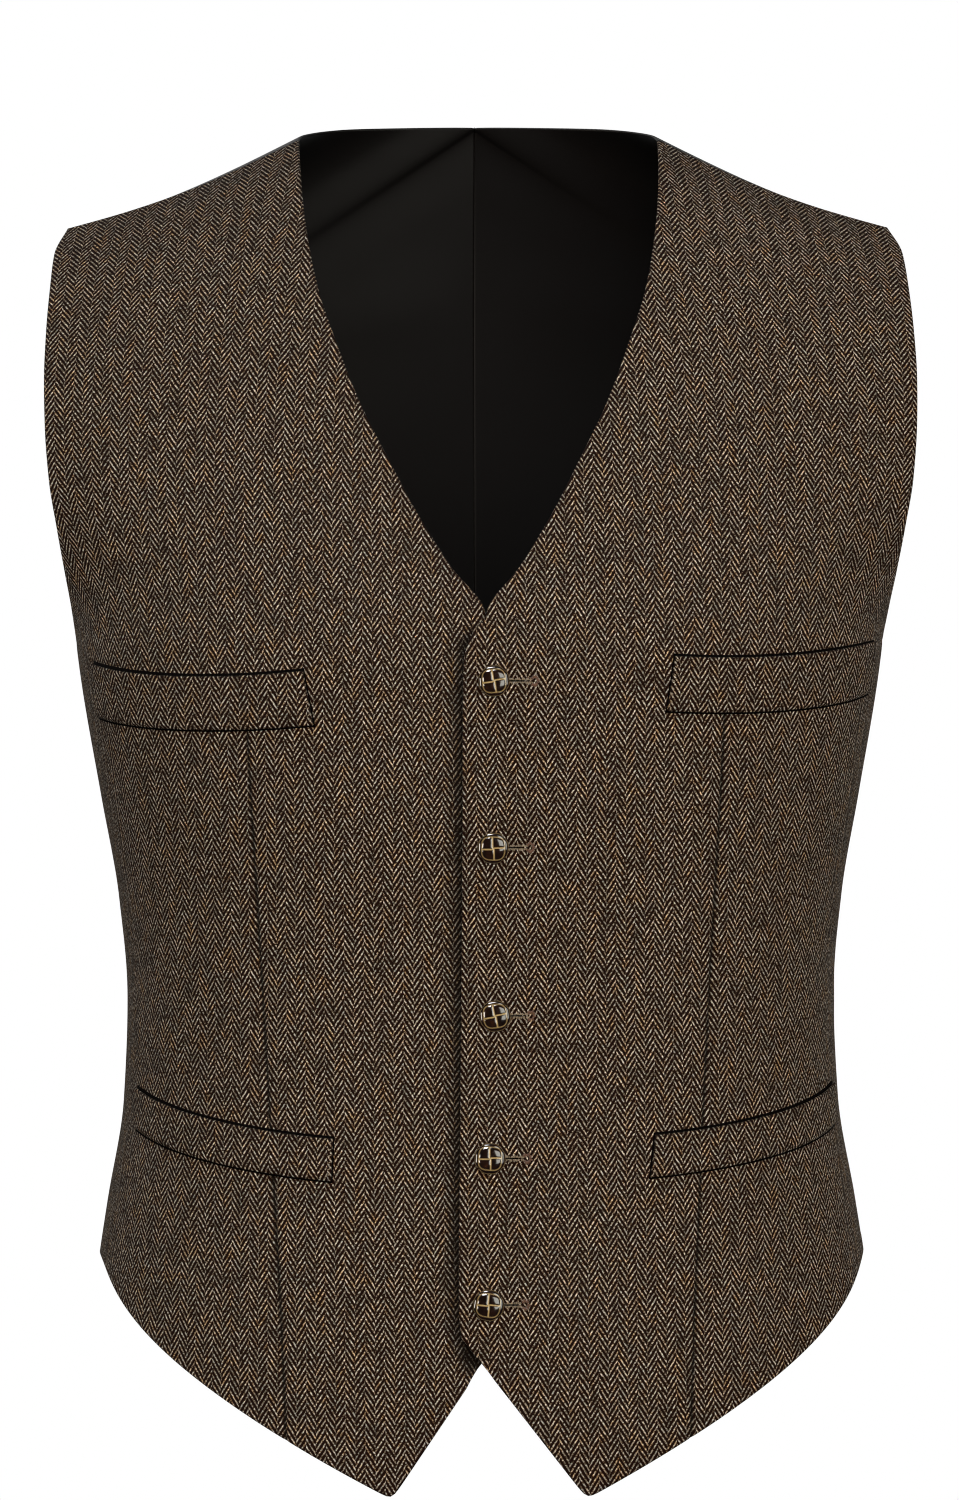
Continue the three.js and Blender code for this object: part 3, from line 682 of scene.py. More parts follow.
# %% [markdown]
# Each front is one cut of tweed, from the shoulder seam to the pointed hem. The stitched dart pulls
# the cloth into a narrow groove from under the chest pocket to the hem. Along the edges the turned-in
# allowance makes a faint ridge. The weave's coordinates are the distance round and the height, and
# above the chest the threads lean to the neck as they climb, because the cut does.

# %% Grid and weave of a front
LEAN_FROM, LEAN_GROWTH = -160, 0.00065
SEAM_TOP_Z, SEAM_X, SEAM_SLOPE = 24, 89, 0.39
CLOSING, CLOSING_REACH = 50, 48
SEAM_FROM, SEAM_TO, SEAM_BLEND = 252, 270, 7.0
# rough lengths of a front's stretches in mm, which turn the finer steps into shares of a column or row
EDGE_TO_POINT, POINT_TO_DART, DART_TO_SIDE, HEM_STRETCH = 60, 55, 155, 90
DART_STEPS = (0.4, 0.8, 1.3, 2)

front_columns = np.unique(np.concatenate([
    near_edges(EDGE_TO_POINT, 0, POINT_COLUMN, 27, last=False),
    np.linspace(POINT_COLUMN, DART_COLUMN, 26),
    near_edges(DART_TO_SIDE, DART_COLUMN, 1, 62, first=False),
    [DART_COLUMN - step * (DART_COLUMN - POINT_COLUMN) / POINT_TO_DART for step in DART_STEPS],
    [DART_COLUMN + step * (1 - DART_COLUMN) / DART_TO_SIDE for step in DART_STEPS],
]))
front_rows = np.unique(np.concatenate([
    near_edges(HEM_FROM, 0, 1, 196, last=False),
    near_edges(HEM_STRETCH, 1, 2, 40, first=False),
]))
print("grid of a front:", len(front_rows), "rows of", len(front_columns), "points")


def blend_seams(normals, seams):
    """Turns the normals near a seam into the seam's own plane, so that two panels meet edge to edge."""
    for axis, weight in seams:
        normals[..., axis] *= 1 - weight
    return normals / np.linalg.norm(normals, axis=-1, keepdims=True)


def side_weight(form, down, girth):
    """1 on the side seam, 0 away from it and above the armhole's foot."""
    to_side = form_length(form, down) - girth
    return (1 - smooth_step(to_side, 0, SEAM_BLEND)) * smooth_step(down, SEAM_FROM, SEAM_TO)


def weave_on_front(shift, down, girth, x, z):
    """Flat coordinates of the cloth: width = inner x + distance round + lean, and length = depth
    below a level line - closing. The lean grows with the square of the height above the chest, and
    the closing fades as e^(-depth below the shoulder seam / its reach)."""
    inner_x = at_down(front_form["sheet"][:, 0, 0], down)
    lean = LEAN_GROWTH * np.maximum(z - LEAN_FROM, 0) ** 2
    below_seam = np.maximum(SEAM_TOP_Z - SEAM_SLOPE * (np.abs(x) - SEAM_X) - z, 0)
    closing = CLOSING * np.exp(-below_seam / CLOSING_REACH)
    return np.stack([inner_x + girth + lean + shift, DOWN_AT_ZERO - z - closing + shift], axis=-1)


# %% [markdown]
# What the needle and the iron do to a front is added along the normals: the dart's groove, the ridge
# over the turned-in allowance, and the creases. A shade attribute keeps painted shade: in the dart, at
# the edges, and under the lap and just beside its edge, the tweed's colour is darkened where shade falls.

# %% Shape of a front
TWEED_WALL, TWEED_RIM, TWEED_TURN_IN = 2.4, 1.0, 8.0
TWEED_LAYERS = (TWEED_WALL, TWEED_RIM, TWEED_TURN_IN)
WEAVE_SHIFT = {1: 0.0, -1: 517.0}
DART_TOP_DOWN, DART_DEPTH, DART_WIDTH, DART_START = 303, 0.9, 0.9, 4
DART_PULL, DART_PULL_WIDTH, DART_SHADE_WIDTH = 0.35, 6, 0.85
ALLOWANCE, RIDGE, RIDGE_SOFT = 9.0, 0.25, 2
EDGE_SHADE, EDGE_SHADE_WIDTH = 0.5, 0.6
LAP_SHADE, LAP_SHADE_RUN, LAP_FROM, LAP_FULL = 1.0, 5.2, 258, 276
LIT_FROM, LIT_FULL = 0.5, 3
FRONT_CREASES_FADE = 30


def front_painted_shade(side, down, girth, x, edge, stitched, from_dart):
    """How much painted shade each place gets: the highest of the dart's, the edges' and the lap's bells.
    The left front's own lap edge gets none, and the right front gets a painted shadow of the lap past that
    edge."""
    from_edge = girth + past_centre(side, down)
    lit = smooth_step(from_edge, LIT_FROM, LIT_FULL) if side > 0 else 1
    # painted shade along every edge of the front, and in the dart's groove
    at_edge = EDGE_SHADE * bell(edge, EDGE_SHADE_WIDTH) * lit
    painted_shade = np.maximum(stitched * bell(from_dart, DART_SHADE_WIDTH), at_edge)
    if side > 0:
        return painted_shade
    # painted shadow of the lap: full under the left front, fading on the right front past its edge
    past_lap = np.maximum(-past_centre(1, down) - x, 0)
    return np.maximum(painted_shade, LAP_SHADE * bell(past_lap, LAP_SHADE_RUN) * smooth_step(down, LAP_FROM, LAP_FULL))


def make_front(name, side):
    """One front: places of the form, moved out by ridge - dart's groove - creases, as a shell of tweed."""
    column, row = np.meshgrid(front_columns, front_rows)
    down = front_down(side, column, row)
    girth = front_girth(side, column, down)
    surface = on_front(side, down, girth)
    normals = directions(surface, side)
    at_shoulder = 1 - smooth_step(down, 0, SEAM_BLEND)
    normals = blend_seams(normals, [(1, at_shoulder), (1, side_weight(front_form, down, girth))])
    edge = edge_distance(surface)
    from_dart = girth - at_down(dart_line, down)
    stitched = smooth_step(down, DART_TOP_DOWN - DART_START, DART_TOP_DOWN + DART_START)
    groove = stitched * (bell(from_dart, DART_WIDTH) + DART_PULL * bell(from_dart, DART_PULL_WIDTH))
    ridge = RIDGE * (1 - smooth_step(edge, ALLOWANCE - RIDGE_SOFT, ALLOWANCE + RIDGE_SOFT))
    crease = crease_depth(FRONT_CREASES, side, down, girth) * smooth_step(edge, 0, FRONT_CREASES_FADE)
    surface = surface + normals * (ridge - DART_DEPTH * groove - crease)[..., None]
    # painted shade of the dart, the edges and the lap, kept for the material
    painted_shade = front_painted_shade(side, down, girth, surface[..., 0], edge, stitched, from_dart)
    weave = weave_on_front(WEAVE_SHIFT[side], down, girth, surface[..., 0], surface[..., 2])
    return cloth(name, surface, normals, TWEED_LAYERS, side < 0, weave, painted_shade, [tweed, lining]), surface


# %% [markdown]
# Each front rides on the part's one body and stands in for the part's own front, which is hidden.

# %% The two fronts
def declare(piece, node):
    """Ties a panel to the part: it rides on the one body, and stands for its node, which is hidden."""
    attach(piece, "root")
    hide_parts(node)


for name, side in (("front_left", 1), ("front_right", -1)):
    panel, surface = make_front(name + "_cloth", side)
    declare(panel, name)

# %% [markdown]
# The back is two plain halves, sewn at the centre and to the fronts at the shoulders and sides. It is
# level at the hem but for a small drop at the centre, and its seam is a shallow valley where the two
# rounded edges meet.

# %% The two halves of the back
SATIN_WALL, SATIN_RIM, SATIN_TURN_IN = 1.4, 0.7, 0.0
SATIN_LAYERS = (SATIN_WALL, SATIN_RIM, SATIN_TURN_IN)
NECK_DOWN, NECK_BLEND = 99, 2
BACK_FOOT = DOWN_AT_ZERO - SIDE_HEM_Z
BACK_CREASES_FADE = 26
# rough width and length of a half in mm, for the finer steps at its edges
HALF_BACK_WIDTH, BACK_LENGTH = 200, 600
back_columns = np.unique(near_edges(HALF_BACK_WIDTH, 0, 1, 76))
back_rows = np.unique(near_edges(BACK_LENGTH, 0, BACK_FOOT, 190))
print("grid of a half back:", len(back_rows), "rows of", len(back_columns), "points")


def make_back(name, side):
    """One half of the back: places of the form, moved in by the creases, as a shell of satin."""
    column, row = np.meshgrid(back_columns, back_rows)
    lean = np.clip((row - HEM_FROM) / (BACK_FOOT - HEM_FROM), 0, 1)
    down = row + lean * BACK_HEM_DROP * (1 - column)
    girth = column * form_length(back_form, down)
    surface = on_form(back_form, down, girth)
    surface[..., 0] *= side
    normals = directions(surface, -side)
    at_shoulder = 1 - smooth_step(down, 0, SEAM_BLEND)
    at_side = side_weight(back_form, down, girth)
    at_centre = 1 - smooth_step(girth, 0, SEAM_BLEND)
    at_centre = at_centre * smooth_step(down, NECK_DOWN, NECK_DOWN + NECK_BLEND)
    normals = blend_seams(normals, [(1, at_shoulder), (1, at_side), (0, at_centre)])
    fade = smooth_step(edge_distance(surface), 0, BACK_CREASES_FADE)
    surface = surface - normals * (crease_depth(BACK_CREASES, side, down, girth) * fade)[..., None]
    painted_shade = np.zeros(down.shape)
    weave = np.stack([girth, down], axis=-1)
    return cloth(name, surface, normals, SATIN_LAYERS, side > 0, weave, painted_shade, [satin, lining]), surface


for name, side in (("back_left", 1), ("back_right", -1)):
    panel, surface = make_back(name + "_cloth", side)
    declare(panel, name)

# %% [markdown]
# A welt pocket is a slit with a strip of cloth sewn along its lower lip and folded at the top, which
# stands over the opening. Its ends are stitched down. The strip is one more shell, laid on the front's
# own points and moved out. Its foot rolls in to the seam, and its top edge stands a little off. Under
# it lies a near-black band, a little larger than the strip: at the mouth it is the pocket's facing, and
# it is also a painted shadow, the dark line of shade that marks the opening, the foot and the inner end.

# %% Welts
# brushed cotton of a pocket bag: matt and dark, with no gloss to give the slit away; its sheets at the welts
# and in the buttonhole slits are also painted shadow
BRUSHED_COTTON = {"Base Color": "#070403", "Roughness": 1.0, "Specular IOR Level": 0.02}
pocketing_and_shadow = new_material("cotton_pocketing_black", BRUSHED_COTTON)[0]
LAID_GAP, WELT_WALL = 0.4, 1.6
WELT_LAYERS = (WELT_WALL, WELT_WALL / 2, TWEED_TURN_IN)
MOUTH_OFF, MOUTH_OFF_RUN, END_HELD = 0.5, 4, 12
FOOT_ROLL, FOOT_ROLL_RUN = 1.3, 1.6
WELT_SHADE, WELT_SHADE_WIDTH = 0.6, 0.5
MOUTH_SHOWS, FOOT_SHOWS, END_SHOWS = 1.2, 0.5, 0.5
FACING_RISE, FACING_SINK = 0.5, 0.3
FACING_COLUMNS, FACING_ROWS = 60, 15
BEND_MORE = 1.15  # a strip that bends round the body is longer than the straight line by this
# name, side, inner x z, outer x z of the upper edge, height, slant of the inner end, sag, weave shift
WELTS = [
    ("chest_welt_left", 1, 90, -233.5, 191, -225.5, 26, 4, 4, 2.6),
    ("chest_welt_right", -1, 87, -240, 189, -235, 26, 5, 4, 519.1),
    ("hip_welt_left", 1, 80, -462.5, 171, -441.5, 20.5, 2.5, 3, 1.3),
    ("hip_welt_right", -1, 73.5, -463.5, 168.5, -442, 20.5, -1, 3, 518.4),
]


def welt_size(welt):
    """A welt's name, side and height, and its length: the distance between its ends, and the bend."""
    name, side, inner_x, inner_z, outer_x, outer_z, height = welt[:7]
    return name, side, height, math.hypot(outer_x - inner_x, outer_z - inner_z) * BEND_MORE


def strip_on_front(welt, along, across):
    """Distance down and round of a strip's points: along is the share from the inner end, and across
    is in mm from the upper edge. The edge sags as 4 * along * (1 - along), and the inner end slants."""
    _, _, inner_x, inner_z, outer_x, outer_z, height, slant, sag, _ = welt
    inner, outer = locate(inner_x, inner_z), locate(outer_x, outer_z)
    share = across / height
    down = inner[0] + (outer[0] - inner[0]) * along + sag * 4 * along * (1 - along) + across
    girth = inner[1] + (outer[1] - inner[1]) * along - slant * share * (1 - along)
    return down, girth


def make_welt(welt):
    """A strip moved out by the gap and its wall: its top edge stands off, and its foot rolls in."""
    name, side, height, length = welt_size(welt)
    along, across = np.unique(near_edges(length, 0, 1, 56)), np.unique(near_edges(height, 0, height, 13))
    along, across = np.meshgrid(along, across)
    down, girth = strip_on_front(welt, along, across)
    base, out = place_and_way(side, down, girth)
    stands_off = MOUTH_OFF * bell(across, MOUTH_OFF_RUN) * smooth_step(along * length, 0, END_HELD)
    roll = FOOT_ROLL * bell(height - across, FOOT_ROLL_RUN)
    surface = base + out * (LAID_GAP + WELT_WALL + stands_off - roll)[..., None]
    weave = weave_on_front(welt[-1], down, girth, base[..., 0], base[..., 2])
    # painted shade along the welt's edges, darkening its tweed there
    painted_shade = WELT_SHADE * bell(edge_distance(surface), WELT_SHADE_WIDTH)
    return cloth(name + "_cloth", surface, out, WELT_LAYERS, side < 0, weave, painted_shade, [tweed, tweed]), surface


def make_facing(welt):
    """The dark band under a welt, the pocket's facing and a painted shadow: its strip, a little larger at the
    mouth, the foot and the inner end.
    """
    name, side, height, length = welt_size(welt)
    along = np.linspace(-END_SHOWS / length, 1, FACING_COLUMNS)
    across = np.linspace(-MOUTH_SHOWS, height + FOOT_SHOWS, FACING_ROWS)
    down, girth = strip_on_front(welt, *np.meshgrid(along, across))
    base, out = place_and_way(side, down, girth)
    points, faces = close_shell(base + out * FACING_RISE, base - out * FACING_SINK, side < 0)
    return build(name + "_facing", points, faces, [pocketing_and_shadow])


for welt in WELTS:
    strip, surface = make_welt(welt)
    declare(strip, welt[0])
    # the near-black band: the pocket's facing, and painted shadow round the welt
    facing_and_shadow = make_facing(welt)
    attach(facing_and_shadow, "root")

# %% [markdown]
# The buttons are moulded in the look of knotted leather: four pillows in the middle, offset like a
# pinwheel, and a band round them. The plastic is dark brown and glossy, and its grooves are rubbed
# with a lighter tan. The dome is a profile turned round an axis, and the grooves are a formula of the
# distance to the nearest line, which is also kept as an attribute, so that paint and relief agree.

# %% Finishes of the buttons and the threads
def button_material():
    """Moulded polyester: a glossy clouded brown under a thin coat, with tan rubbed into the grooves."""
    material, tree, shader = new_material("moulded_polyester_leather_look", {
        "Roughness": 0.14,
        "IOR": 1.54,
        "Coat Weight": 0.4,
        "Coat Roughness": 0.06,
    })
    rubbed = add(tree, "Attribute", attribute_name="rubbed")
    place = add(tree, "TexCoord")
    # the resin's clouds are about 4 mm wide
    cloud = add(tree, "TexNoise", {"Vector": place.outputs["Object"], "Scale": 260.0, "Detail": 3.0})
    body = add(tree, "ValToRGB", {"Fac": cloud}, stops=[
        (0.35, "#140904"), (0.6, "#28140a"), (0.75, "#442512"),
    ])
    colour = add(tree, "MixRGB", {"Fac": rubbed.outputs["Fac"], "Color1": body, "Color2": "#cdab70"})
    tree.links.new(colour.outputs[0], shader.inputs["Base Color"])
    return material


def thread_material(name, hex_code):
    """Twisted cotton or silk thread: matt with a soft sheen, its twist too fine for more than a grain."""
    finish = {"Base Color": hex_code, "Roughness": 0.75, "Sheen Weight": 0.2}
    material, tree, shader = new_material(name, finish)
    place = add(tree, "TexCoord")
    # a twist drawn 0.7 mm long, coarser than the real one
    grain = add(tree, "TexNoise", {"Vector": place.outputs["Object"], "Scale": 1400.0, "Detail": 1.0})
    bump = add(tree, "Bump", {"Height": grain, "Strength": 0.4, "Distance": 0.0002})
    tree.links.new(bump.outputs[0], shader.inputs["Normal"])
    return material


plastic = button_material()
thread = thread_material("twisted_buttonhole_thread_drab", "#9a8260")
warm_thread = thread_material("twisted_buttonhole_thread_rust", "#6c4123")
pale_thread = thread_material("twisted_stitch_thread_tan", "#a08868")
print("finishes:", [made.name for made in (plastic, thread, warm_thread, pale_thread)])

# %% [markdown]
# The dome's profile is a short table of shares of the radius and the height, smoothed by the same
# cubic as the body's tables and turned round an axis. The knot's lines are then measured at every
# point: an offset cross, a rounded block round it, and the corners where the rim's straps cross.

# %% Dome and knot of a button
BUTTON_RADIUS, BUTTON_HEIGHT = 7.5, 4.6
# share of the radius and of the height, from the crown over the rim to the flat underside
PROFILE = np.array([
    [0, 1], [0.3, 0.985], [0.6, 0.9], [0.85, 0.72], [0.97, 0.48],
    [1, 0.34], [0.95, 0.16], [0.62, 0], [0.2, 0],
])
PINWHEEL, BLOCK, BLOCK_SQUARE = 0.3, 5.5, 3.2
CROSS_LEAN, CROSS_TURN, CROSS_PAST = 0.05, 3, 0.2
FAR = 9  # a distance that leaves no groove


def smooth_profile(table, count):
    """A profile's points spread evenly by length along a cubic through its rows."""
    run = np.concatenate([[0], np.cumsum(np.linalg.norm(np.diff(table, axis=0), axis=1))])
    return follow(np.column_stack([run, table]), np.linspace(0, run[-1], count))


def turned_grid(profile_radius, profile_height, turns):
    """Closed faces of a profile turned round: rings of points with a pole at each end."""
    angle = np.linspace(0, 2 * np.pi, turns, endpoint=False)
    x = profile_radius[:, None] * np.cos(angle)
    y = profile_radius[:, None] * np.sin(angle)
    z = np.broadcast_to(profile_height[:, None], x.shape)
    index = np.arange(x.size).reshape(x.shape)
    beside = np.roll(index, -1, axis=1)
    quads = np.stack([index[:-1], index[1:], beside[1:], beside[:-1]], axis=-1).reshape(-1, CORNERS)
    top, foot = np.full(turns, x.size), np.full(turns, x.size + 1)
    cap = np.stack([top, index[0], beside[0], top], axis=-1)
    sole = np.stack([foot, beside[-1], index[-1], foot], axis=-1)
    points = np.stack([x, y, z], axis=-1).reshape(-1, 3)
    ends = [[0, 0, profile_height[0]], [0, 0, profile_height[-1]]]
    return np.vstack([points, ends]), np.vstack([quads, cap, sole])


def knot_lines(x, y):
    """Distances to the grooves: the offset cross inside the block, the block's rounded outline
    |x|^n + |y|^n = size^n, and the corners where the straps of the rim pass under each other."""
    block = (np.abs(x) ** BLOCK_SQUARE + np.abs(y) ** BLOCK_SQUARE) ** (1 / BLOCK_SQUARE)
    upright = np.abs(x + PINWHEEL * np.tanh(CROSS_TURN * y) + CROSS_LEAN * y)
    level = np.abs(y - PINWHEEL * np.tanh(CROSS_TURN * x) - CROSS_LEAN * x)
    cross = np.where(block < BLOCK + CROSS_PAST, np.minimum(upright, level), FAR)
    corner = np.where(block > BLOCK, np.abs(np.abs(x) - np.abs(y)) / math.sqrt(2), FAR)
    return cross, np.abs(block - BLOCK), corner


def local_axes(normal, turn):
    """Two axes across a normal, the first turned from level by some degrees."""
    right = np.cross([0, 0, 1.0], -normal)
    right /= np.linalg.norm(right)
    up = np.cross(normal, right)
    up /= np.linalg.norm(up)
    c, s = math.cos(math.radians(turn)), math.sin(math.radians(turn))
    return right * c + up * s, up * c - right * s


print("button:", 2 * BUTTON_RADIUS, "mm wide,", BUTTON_HEIGHT, "mm high")

# %% [markdown]
# Each button is pressed by the knot's lines: a groove on every line and a pillow between them. The
# tan paint lies on the cross, thinly on the block's outline, and along the rim. A short thread shank
# joins the button to the cloth.

# %% The five buttons
BUTTONS = [(3.4, -245.2), (2.8, -324.5), (3.6, -404.8), (0.9, -472.7), (-0.2, -542)]
BUTTON_TURNS = (5, -2, 7, -4, -9)
PROFILE_POINTS, POLE, BUTTON_STEPS = 46, 0.02, 132
LOBES, LOBE_DEPTH, LOBE_GROWTH = 8, 0.02, 6
GROOVE_WIDTH, GROOVE_DEPTH = 0.42, 0.25
PILLOW, PILLOW_RUN, PRESSED = 0.14, 0.9, 0.3
FACE_FROM, FACE_FULL = 0.2, 0.42
CROSS_PAINT_WIDTH, OUTLINE_PAINT, OUTLINE_PAINT_WIDTH, OUTLINE_CLEAR = 0.36, 0.8, 0.2, 0.4
RIM_AT, RIM_PAINT, RIM_PAINT_WIDTH, RIM_BREAK, RIM_BREAK_WIDTH = 0.97, 0.5, 0.12, 0.9, 0.5
# radius and height of the thread shank, from inside the button down to the cloth
SHANK = np.array([[1.5, 0.6], [1.5, 0.0], [1.7, -LAID_GAP]])
SHANK_STEPS = 20


def paint_on_button(reach, face, cross, outline, corner):
    """Share of tan paint: e^-(cross / width)^4, and bells on the block's outline and on the rim."""
    on_cross = np.exp(-((cross / CROSS_PAINT_WIDTH) ** 4))
    on_outline = OUTLINE_PAINT * bell(outline, OUTLINE_PAINT_WIDTH) * (cross > OUTLINE_CLEAR)
    on_rim = RIM_PAINT * bell(reach - RIM_AT * BUTTON_RADIUS, RIM_PAINT_WIDTH)
    on_rim = on_rim * (1 - RIM_BREAK * bell(corner, RIM_BREAK_WIDTH))
    return np.clip(face * (on_cross + on_outline) + on_rim, 0, 1)


def make_button(number, x, z, turn):
    """A dome of turned rings, its rim drawn in between lobes, its face pressed by grooves and pillows."""
    base, normal = place_and_way(1, *locate(x, z))
    right, up = local_axes(normal, turn)
    profile = smooth_profile(PROFILE, PROFILE_POINTS)
    profile = profile[profile[:, 0] > POLE]
    points, faces = turned_grid(profile[:, 0] * BUTTON_RADIUS, profile[:, 1] * BUTTON_HEIGHT, BUTTON_STEPS)
    reach = np.hypot(points[:, 0], points[:, 1])
    around = np.arctan2(points[:, 1], points[:, 0])
    lobes = 1 - LOBE_DEPTH * (reach / BUTTON_RADIUS) ** LOBE_GROWTH * np.cos(LOBES * around)
    points[:, :2] *= lobes[:, None]
    lines = knot_lines(points[:, 0], points[:, 1])
    nearest = np.minimum.reduce(lines)
    face = smooth_step(points[:, 2], FACE_FROM * BUTTON_HEIGHT, FACE_FULL * BUTTON_HEIGHT)
    padded = 1 - bell(nearest, PILLOW_RUN)
    points[:, 2] += face * (PILLOW * padded - GROOVE_DEPTH * bell(nearest, GROOVE_WIDTH) - PRESSED)
    paint = paint_on_button(reach, face, *lines)
    shank, shank_faces = turned_grid(SHANK[:, 0], SHANK[:, 1], SHANK_STEPS)
    kinds = np.concatenate([np.zeros(len(faces)), np.ones(len(shank_faces))])
    faces = np.vstack([faces, shank_faces + len(points)])
    every = np.vstack([points, shank])
    rubbed = {"rubbed": np.concatenate([paint, np.zeros(len(shank))])}
    placed = base + normal * LAID_GAP + every[:, :1] * right + every[:, 1:2] * up + every[:, 2:] * normal
    made = build(f"button_{number}_moulded", placed, faces, [plastic, thread], kinds, None, rubbed)
    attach(made, "root")
    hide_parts(f"button_{number}")
    return made


for number, ((x, z), turn) in enumerate(zip(BUTTONS, BUTTON_TURNS), 1):
    made = make_button(number, x, z, turn)
print("buttons:", len(BUTTONS), "faces each:", len(made.data.polygons))

# %% [markdown]
# A tailored buttonhole is a slit with thread wound over its lips, and a round eye at the end that
# the button's shank rests in. Each stitch is a short rounded bar across the lip, so a buttonhole is
# some dozens of bars along a keyhole path, joined into one mesh. The same bar makes the stitches
# that tack the inner end of each welt, and those of the centre-back seam.

# %% A bar of thread
BAR_SEGMENTS, BAR_SIDES = 6, 7
TIP = 0.02  # square of the thinnest share of the radius, at a bar's tips


def bars(starts, ends, lifts, radius):
    """Rounded bars of thread. Each is an arch from start to end, raised by lift * sin(pi * share),
    and its radius follows a half circle along it, down to closed tips."""
    count = len(starts)
    share = np.linspace(0, 1, BAR_SEGMENTS + 1)
    centre = starts[:, None] + (ends - starts)[:, None] * share[:, None]
    centre = centre + lifts[:, None] * np.sin(np.pi * share)[:, None]
    along = ends - starts
    along = along / np.linalg.norm(along, axis=1, keepdims=True)
    out = lifts / np.linalg.norm(lifts, axis=1, keepdims=True)
    side = np.cross(along, out)
    thick = radius * np.sqrt(np.clip(1 - (2 * share - 1) ** 2, TIP, 1))
    angle = np.linspace(0, 2 * np.pi, BAR_SIDES, endpoint=False)
    ring = side[:, None, None] * np.cos(angle)[:, None] + out[:, None, None] * np.sin(angle)[:, None]
    points = (centre[:, :, None] + ring * thick[:, None, None]).reshape(-1, 3)
    per_bar = (BAR_SEGMENTS + 1) * BAR_SIDES
    index = np.arange(per_bar).reshape(BAR_SEGMENTS + 1, BAR_SIDES)
    beside = np.roll(index, -1, axis=1)
    quads = np.stack([index[:-1], beside[:-1], beside[1:], index[1:]], axis=-1).reshape(-1, CORNERS)
    fan = np.arange(1, BAR_SIDES - 1)
    first, last = np.zeros_like(fan), np.full_like(fan, index[-1, 0])
    start_cap = np.stack([first, fan + 1, fan, first], axis=-1)
    end_cap = np.stack([last, last + fan, last + fan + 1, last], axis=-1)
    one = np.vstack([quads, start_cap, end_cap])
    faces = (one[None] + per_bar * np.arange(count)[:, None, None]).reshape(-1, CORNERS)
    return points, faces


print("one bar:", BAR_SEGMENTS * BAR_SIDES + 2 * (BAR_SIDES - 2), "faces")

# %% [markdown]
# A buttonhole's stitches start at the slit's lips and end in the cloth, on two keyhole paths of one
# shape. By hand no stitch is quite like the next, so their ends and their height are shaken a little.

# %% Buttonholes
HOLE_END_X = (23.9, 21.6, 21.7, 19.7, 18.4)
HOLE_START, HOLE_SPARE = 1.2, 2.2
EYE, EYE_MEETS = 1.9, 0.8
STITCH_APART, EYE_OPENS, EYE_STITCH_TURN = 0.62, 150, 17
# half the slit's width, slip along it, and the eye's half width and height as shares of EYE
KEYHOLE_ROOTS, KEYHOLE_TIPS = (0.28, 0, 0.45, 0.62), (1.25, 0.1, 1.25, 1.5)
TIP_SCATTER, ROOT_RISE, TIP_RISE = 0.3, 0.1, 0.05
ARCH_LOW, ARCH_HIGH, THREAD_RADIUS = 0.35, 0.6, 0.3
SLIT_START, SLIT_SHARE, SLIT_HALF, SLIT_RISE, SLIT_SINK = 1, 0.72, 0.3, 0.12, 0.3
SLIT_COLUMNS, SLIT_ROWS = 24, 4
HOLE_SEED = 40


def keyhole_path(length, shape):
    """Points of a keyhole: along the upper lip, round the eye on an ellipse, back along the lower lip."""
    half, slip, eye_wide, eye_high = shape
    lip = np.arange(0, length - EYE * EYE_MEETS, STITCH_APART)
    turn = np.radians(np.arange(EYE_OPENS, -EYE_OPENS - 1, -EYE_STITCH_TURN))
    upper = np.column_stack([lip + slip, np.full(len(lip), half)])
    eye = np.column_stack([length + EYE * eye_wide * np.cos(turn), EYE * eye_high * np.sin(turn)])
    return np.vstack([upper, eye, upper[::-1] * (1, -1)])


def on_left_front(x, z):
    """Places and normals on the left front for arrays of x and z near the centre, where it is nearly flat."""
    return place_and_way(1, DOWN_AT_ZERO - z, x)


def make_buttonhole(number, x, z, end_x, seed):
    """Bars from the keyhole's roots to its shaken tips, rust-coloured round the eye, and a near-black sheet
    in the slit, painted shade of the opening.
    """
    rng = np.random.default_rng(seed)
    length = end_x - x - HOLE_SPARE
    roots, tips = keyhole_path(length, KEYHOLE_ROOTS), keyhole_path(length, KEYHOLE_TIPS)
    tips = tips + rng.normal(0, TIP_SCATTER, tips.shape)
    root, out = on_left_front(x + HOLE_START + roots[:, 0], z + roots[:, 1])
    tip, _ = on_left_front(x + HOLE_START + tips[:, 0], z + tips[:, 1])
    lifts = out * rng.uniform(ARCH_LOW, ARCH_HIGH, (len(out), 1))
    points, faces = bars(root + out * ROOT_RISE, tip + out * TIP_RISE, lifts, THREAD_RADIUS)
    # painted shade: a near-black sheet along the slit stands for the shade inside the opening
    slit_x = np.linspace(x + SLIT_START, x + SLIT_SHARE * (end_x - x), SLIT_COLUMNS)
    slit_z = z + np.linspace(SLIT_HALF, -SLIT_HALF, SLIT_ROWS)
    base, way = on_left_front(*np.meshgrid(slit_x, slit_z))
    slit_shadow_sheet, slit_faces = close_shell(base + way * SLIT_RISE, base - way * SLIT_SINK, False)
    round_eye = roots[:, 0] > length - EYE * EYE_MEETS
    kinds = np.concatenate([np.repeat(2 * round_eye, len(faces) // len(roots)), np.ones(len(slit_faces))])
    every = np.vstack([points, slit_shadow_sheet])
    faces = np.vstack([faces, slit_faces + len(points)])
    made = build(f"buttonhole_{number}", every, faces, [thread, pocketing_and_shadow, warm_thread], kinds)
    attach(made, "root")
    return made


for number, ((x, z), end_x) in enumerate(zip(BUTTONS, HOLE_END_X), 1):
    made = make_buttonhole(number, x, z, end_x, HOLE_SEED + number)
print("faces of the last buttonhole:", len(made.data.polygons))

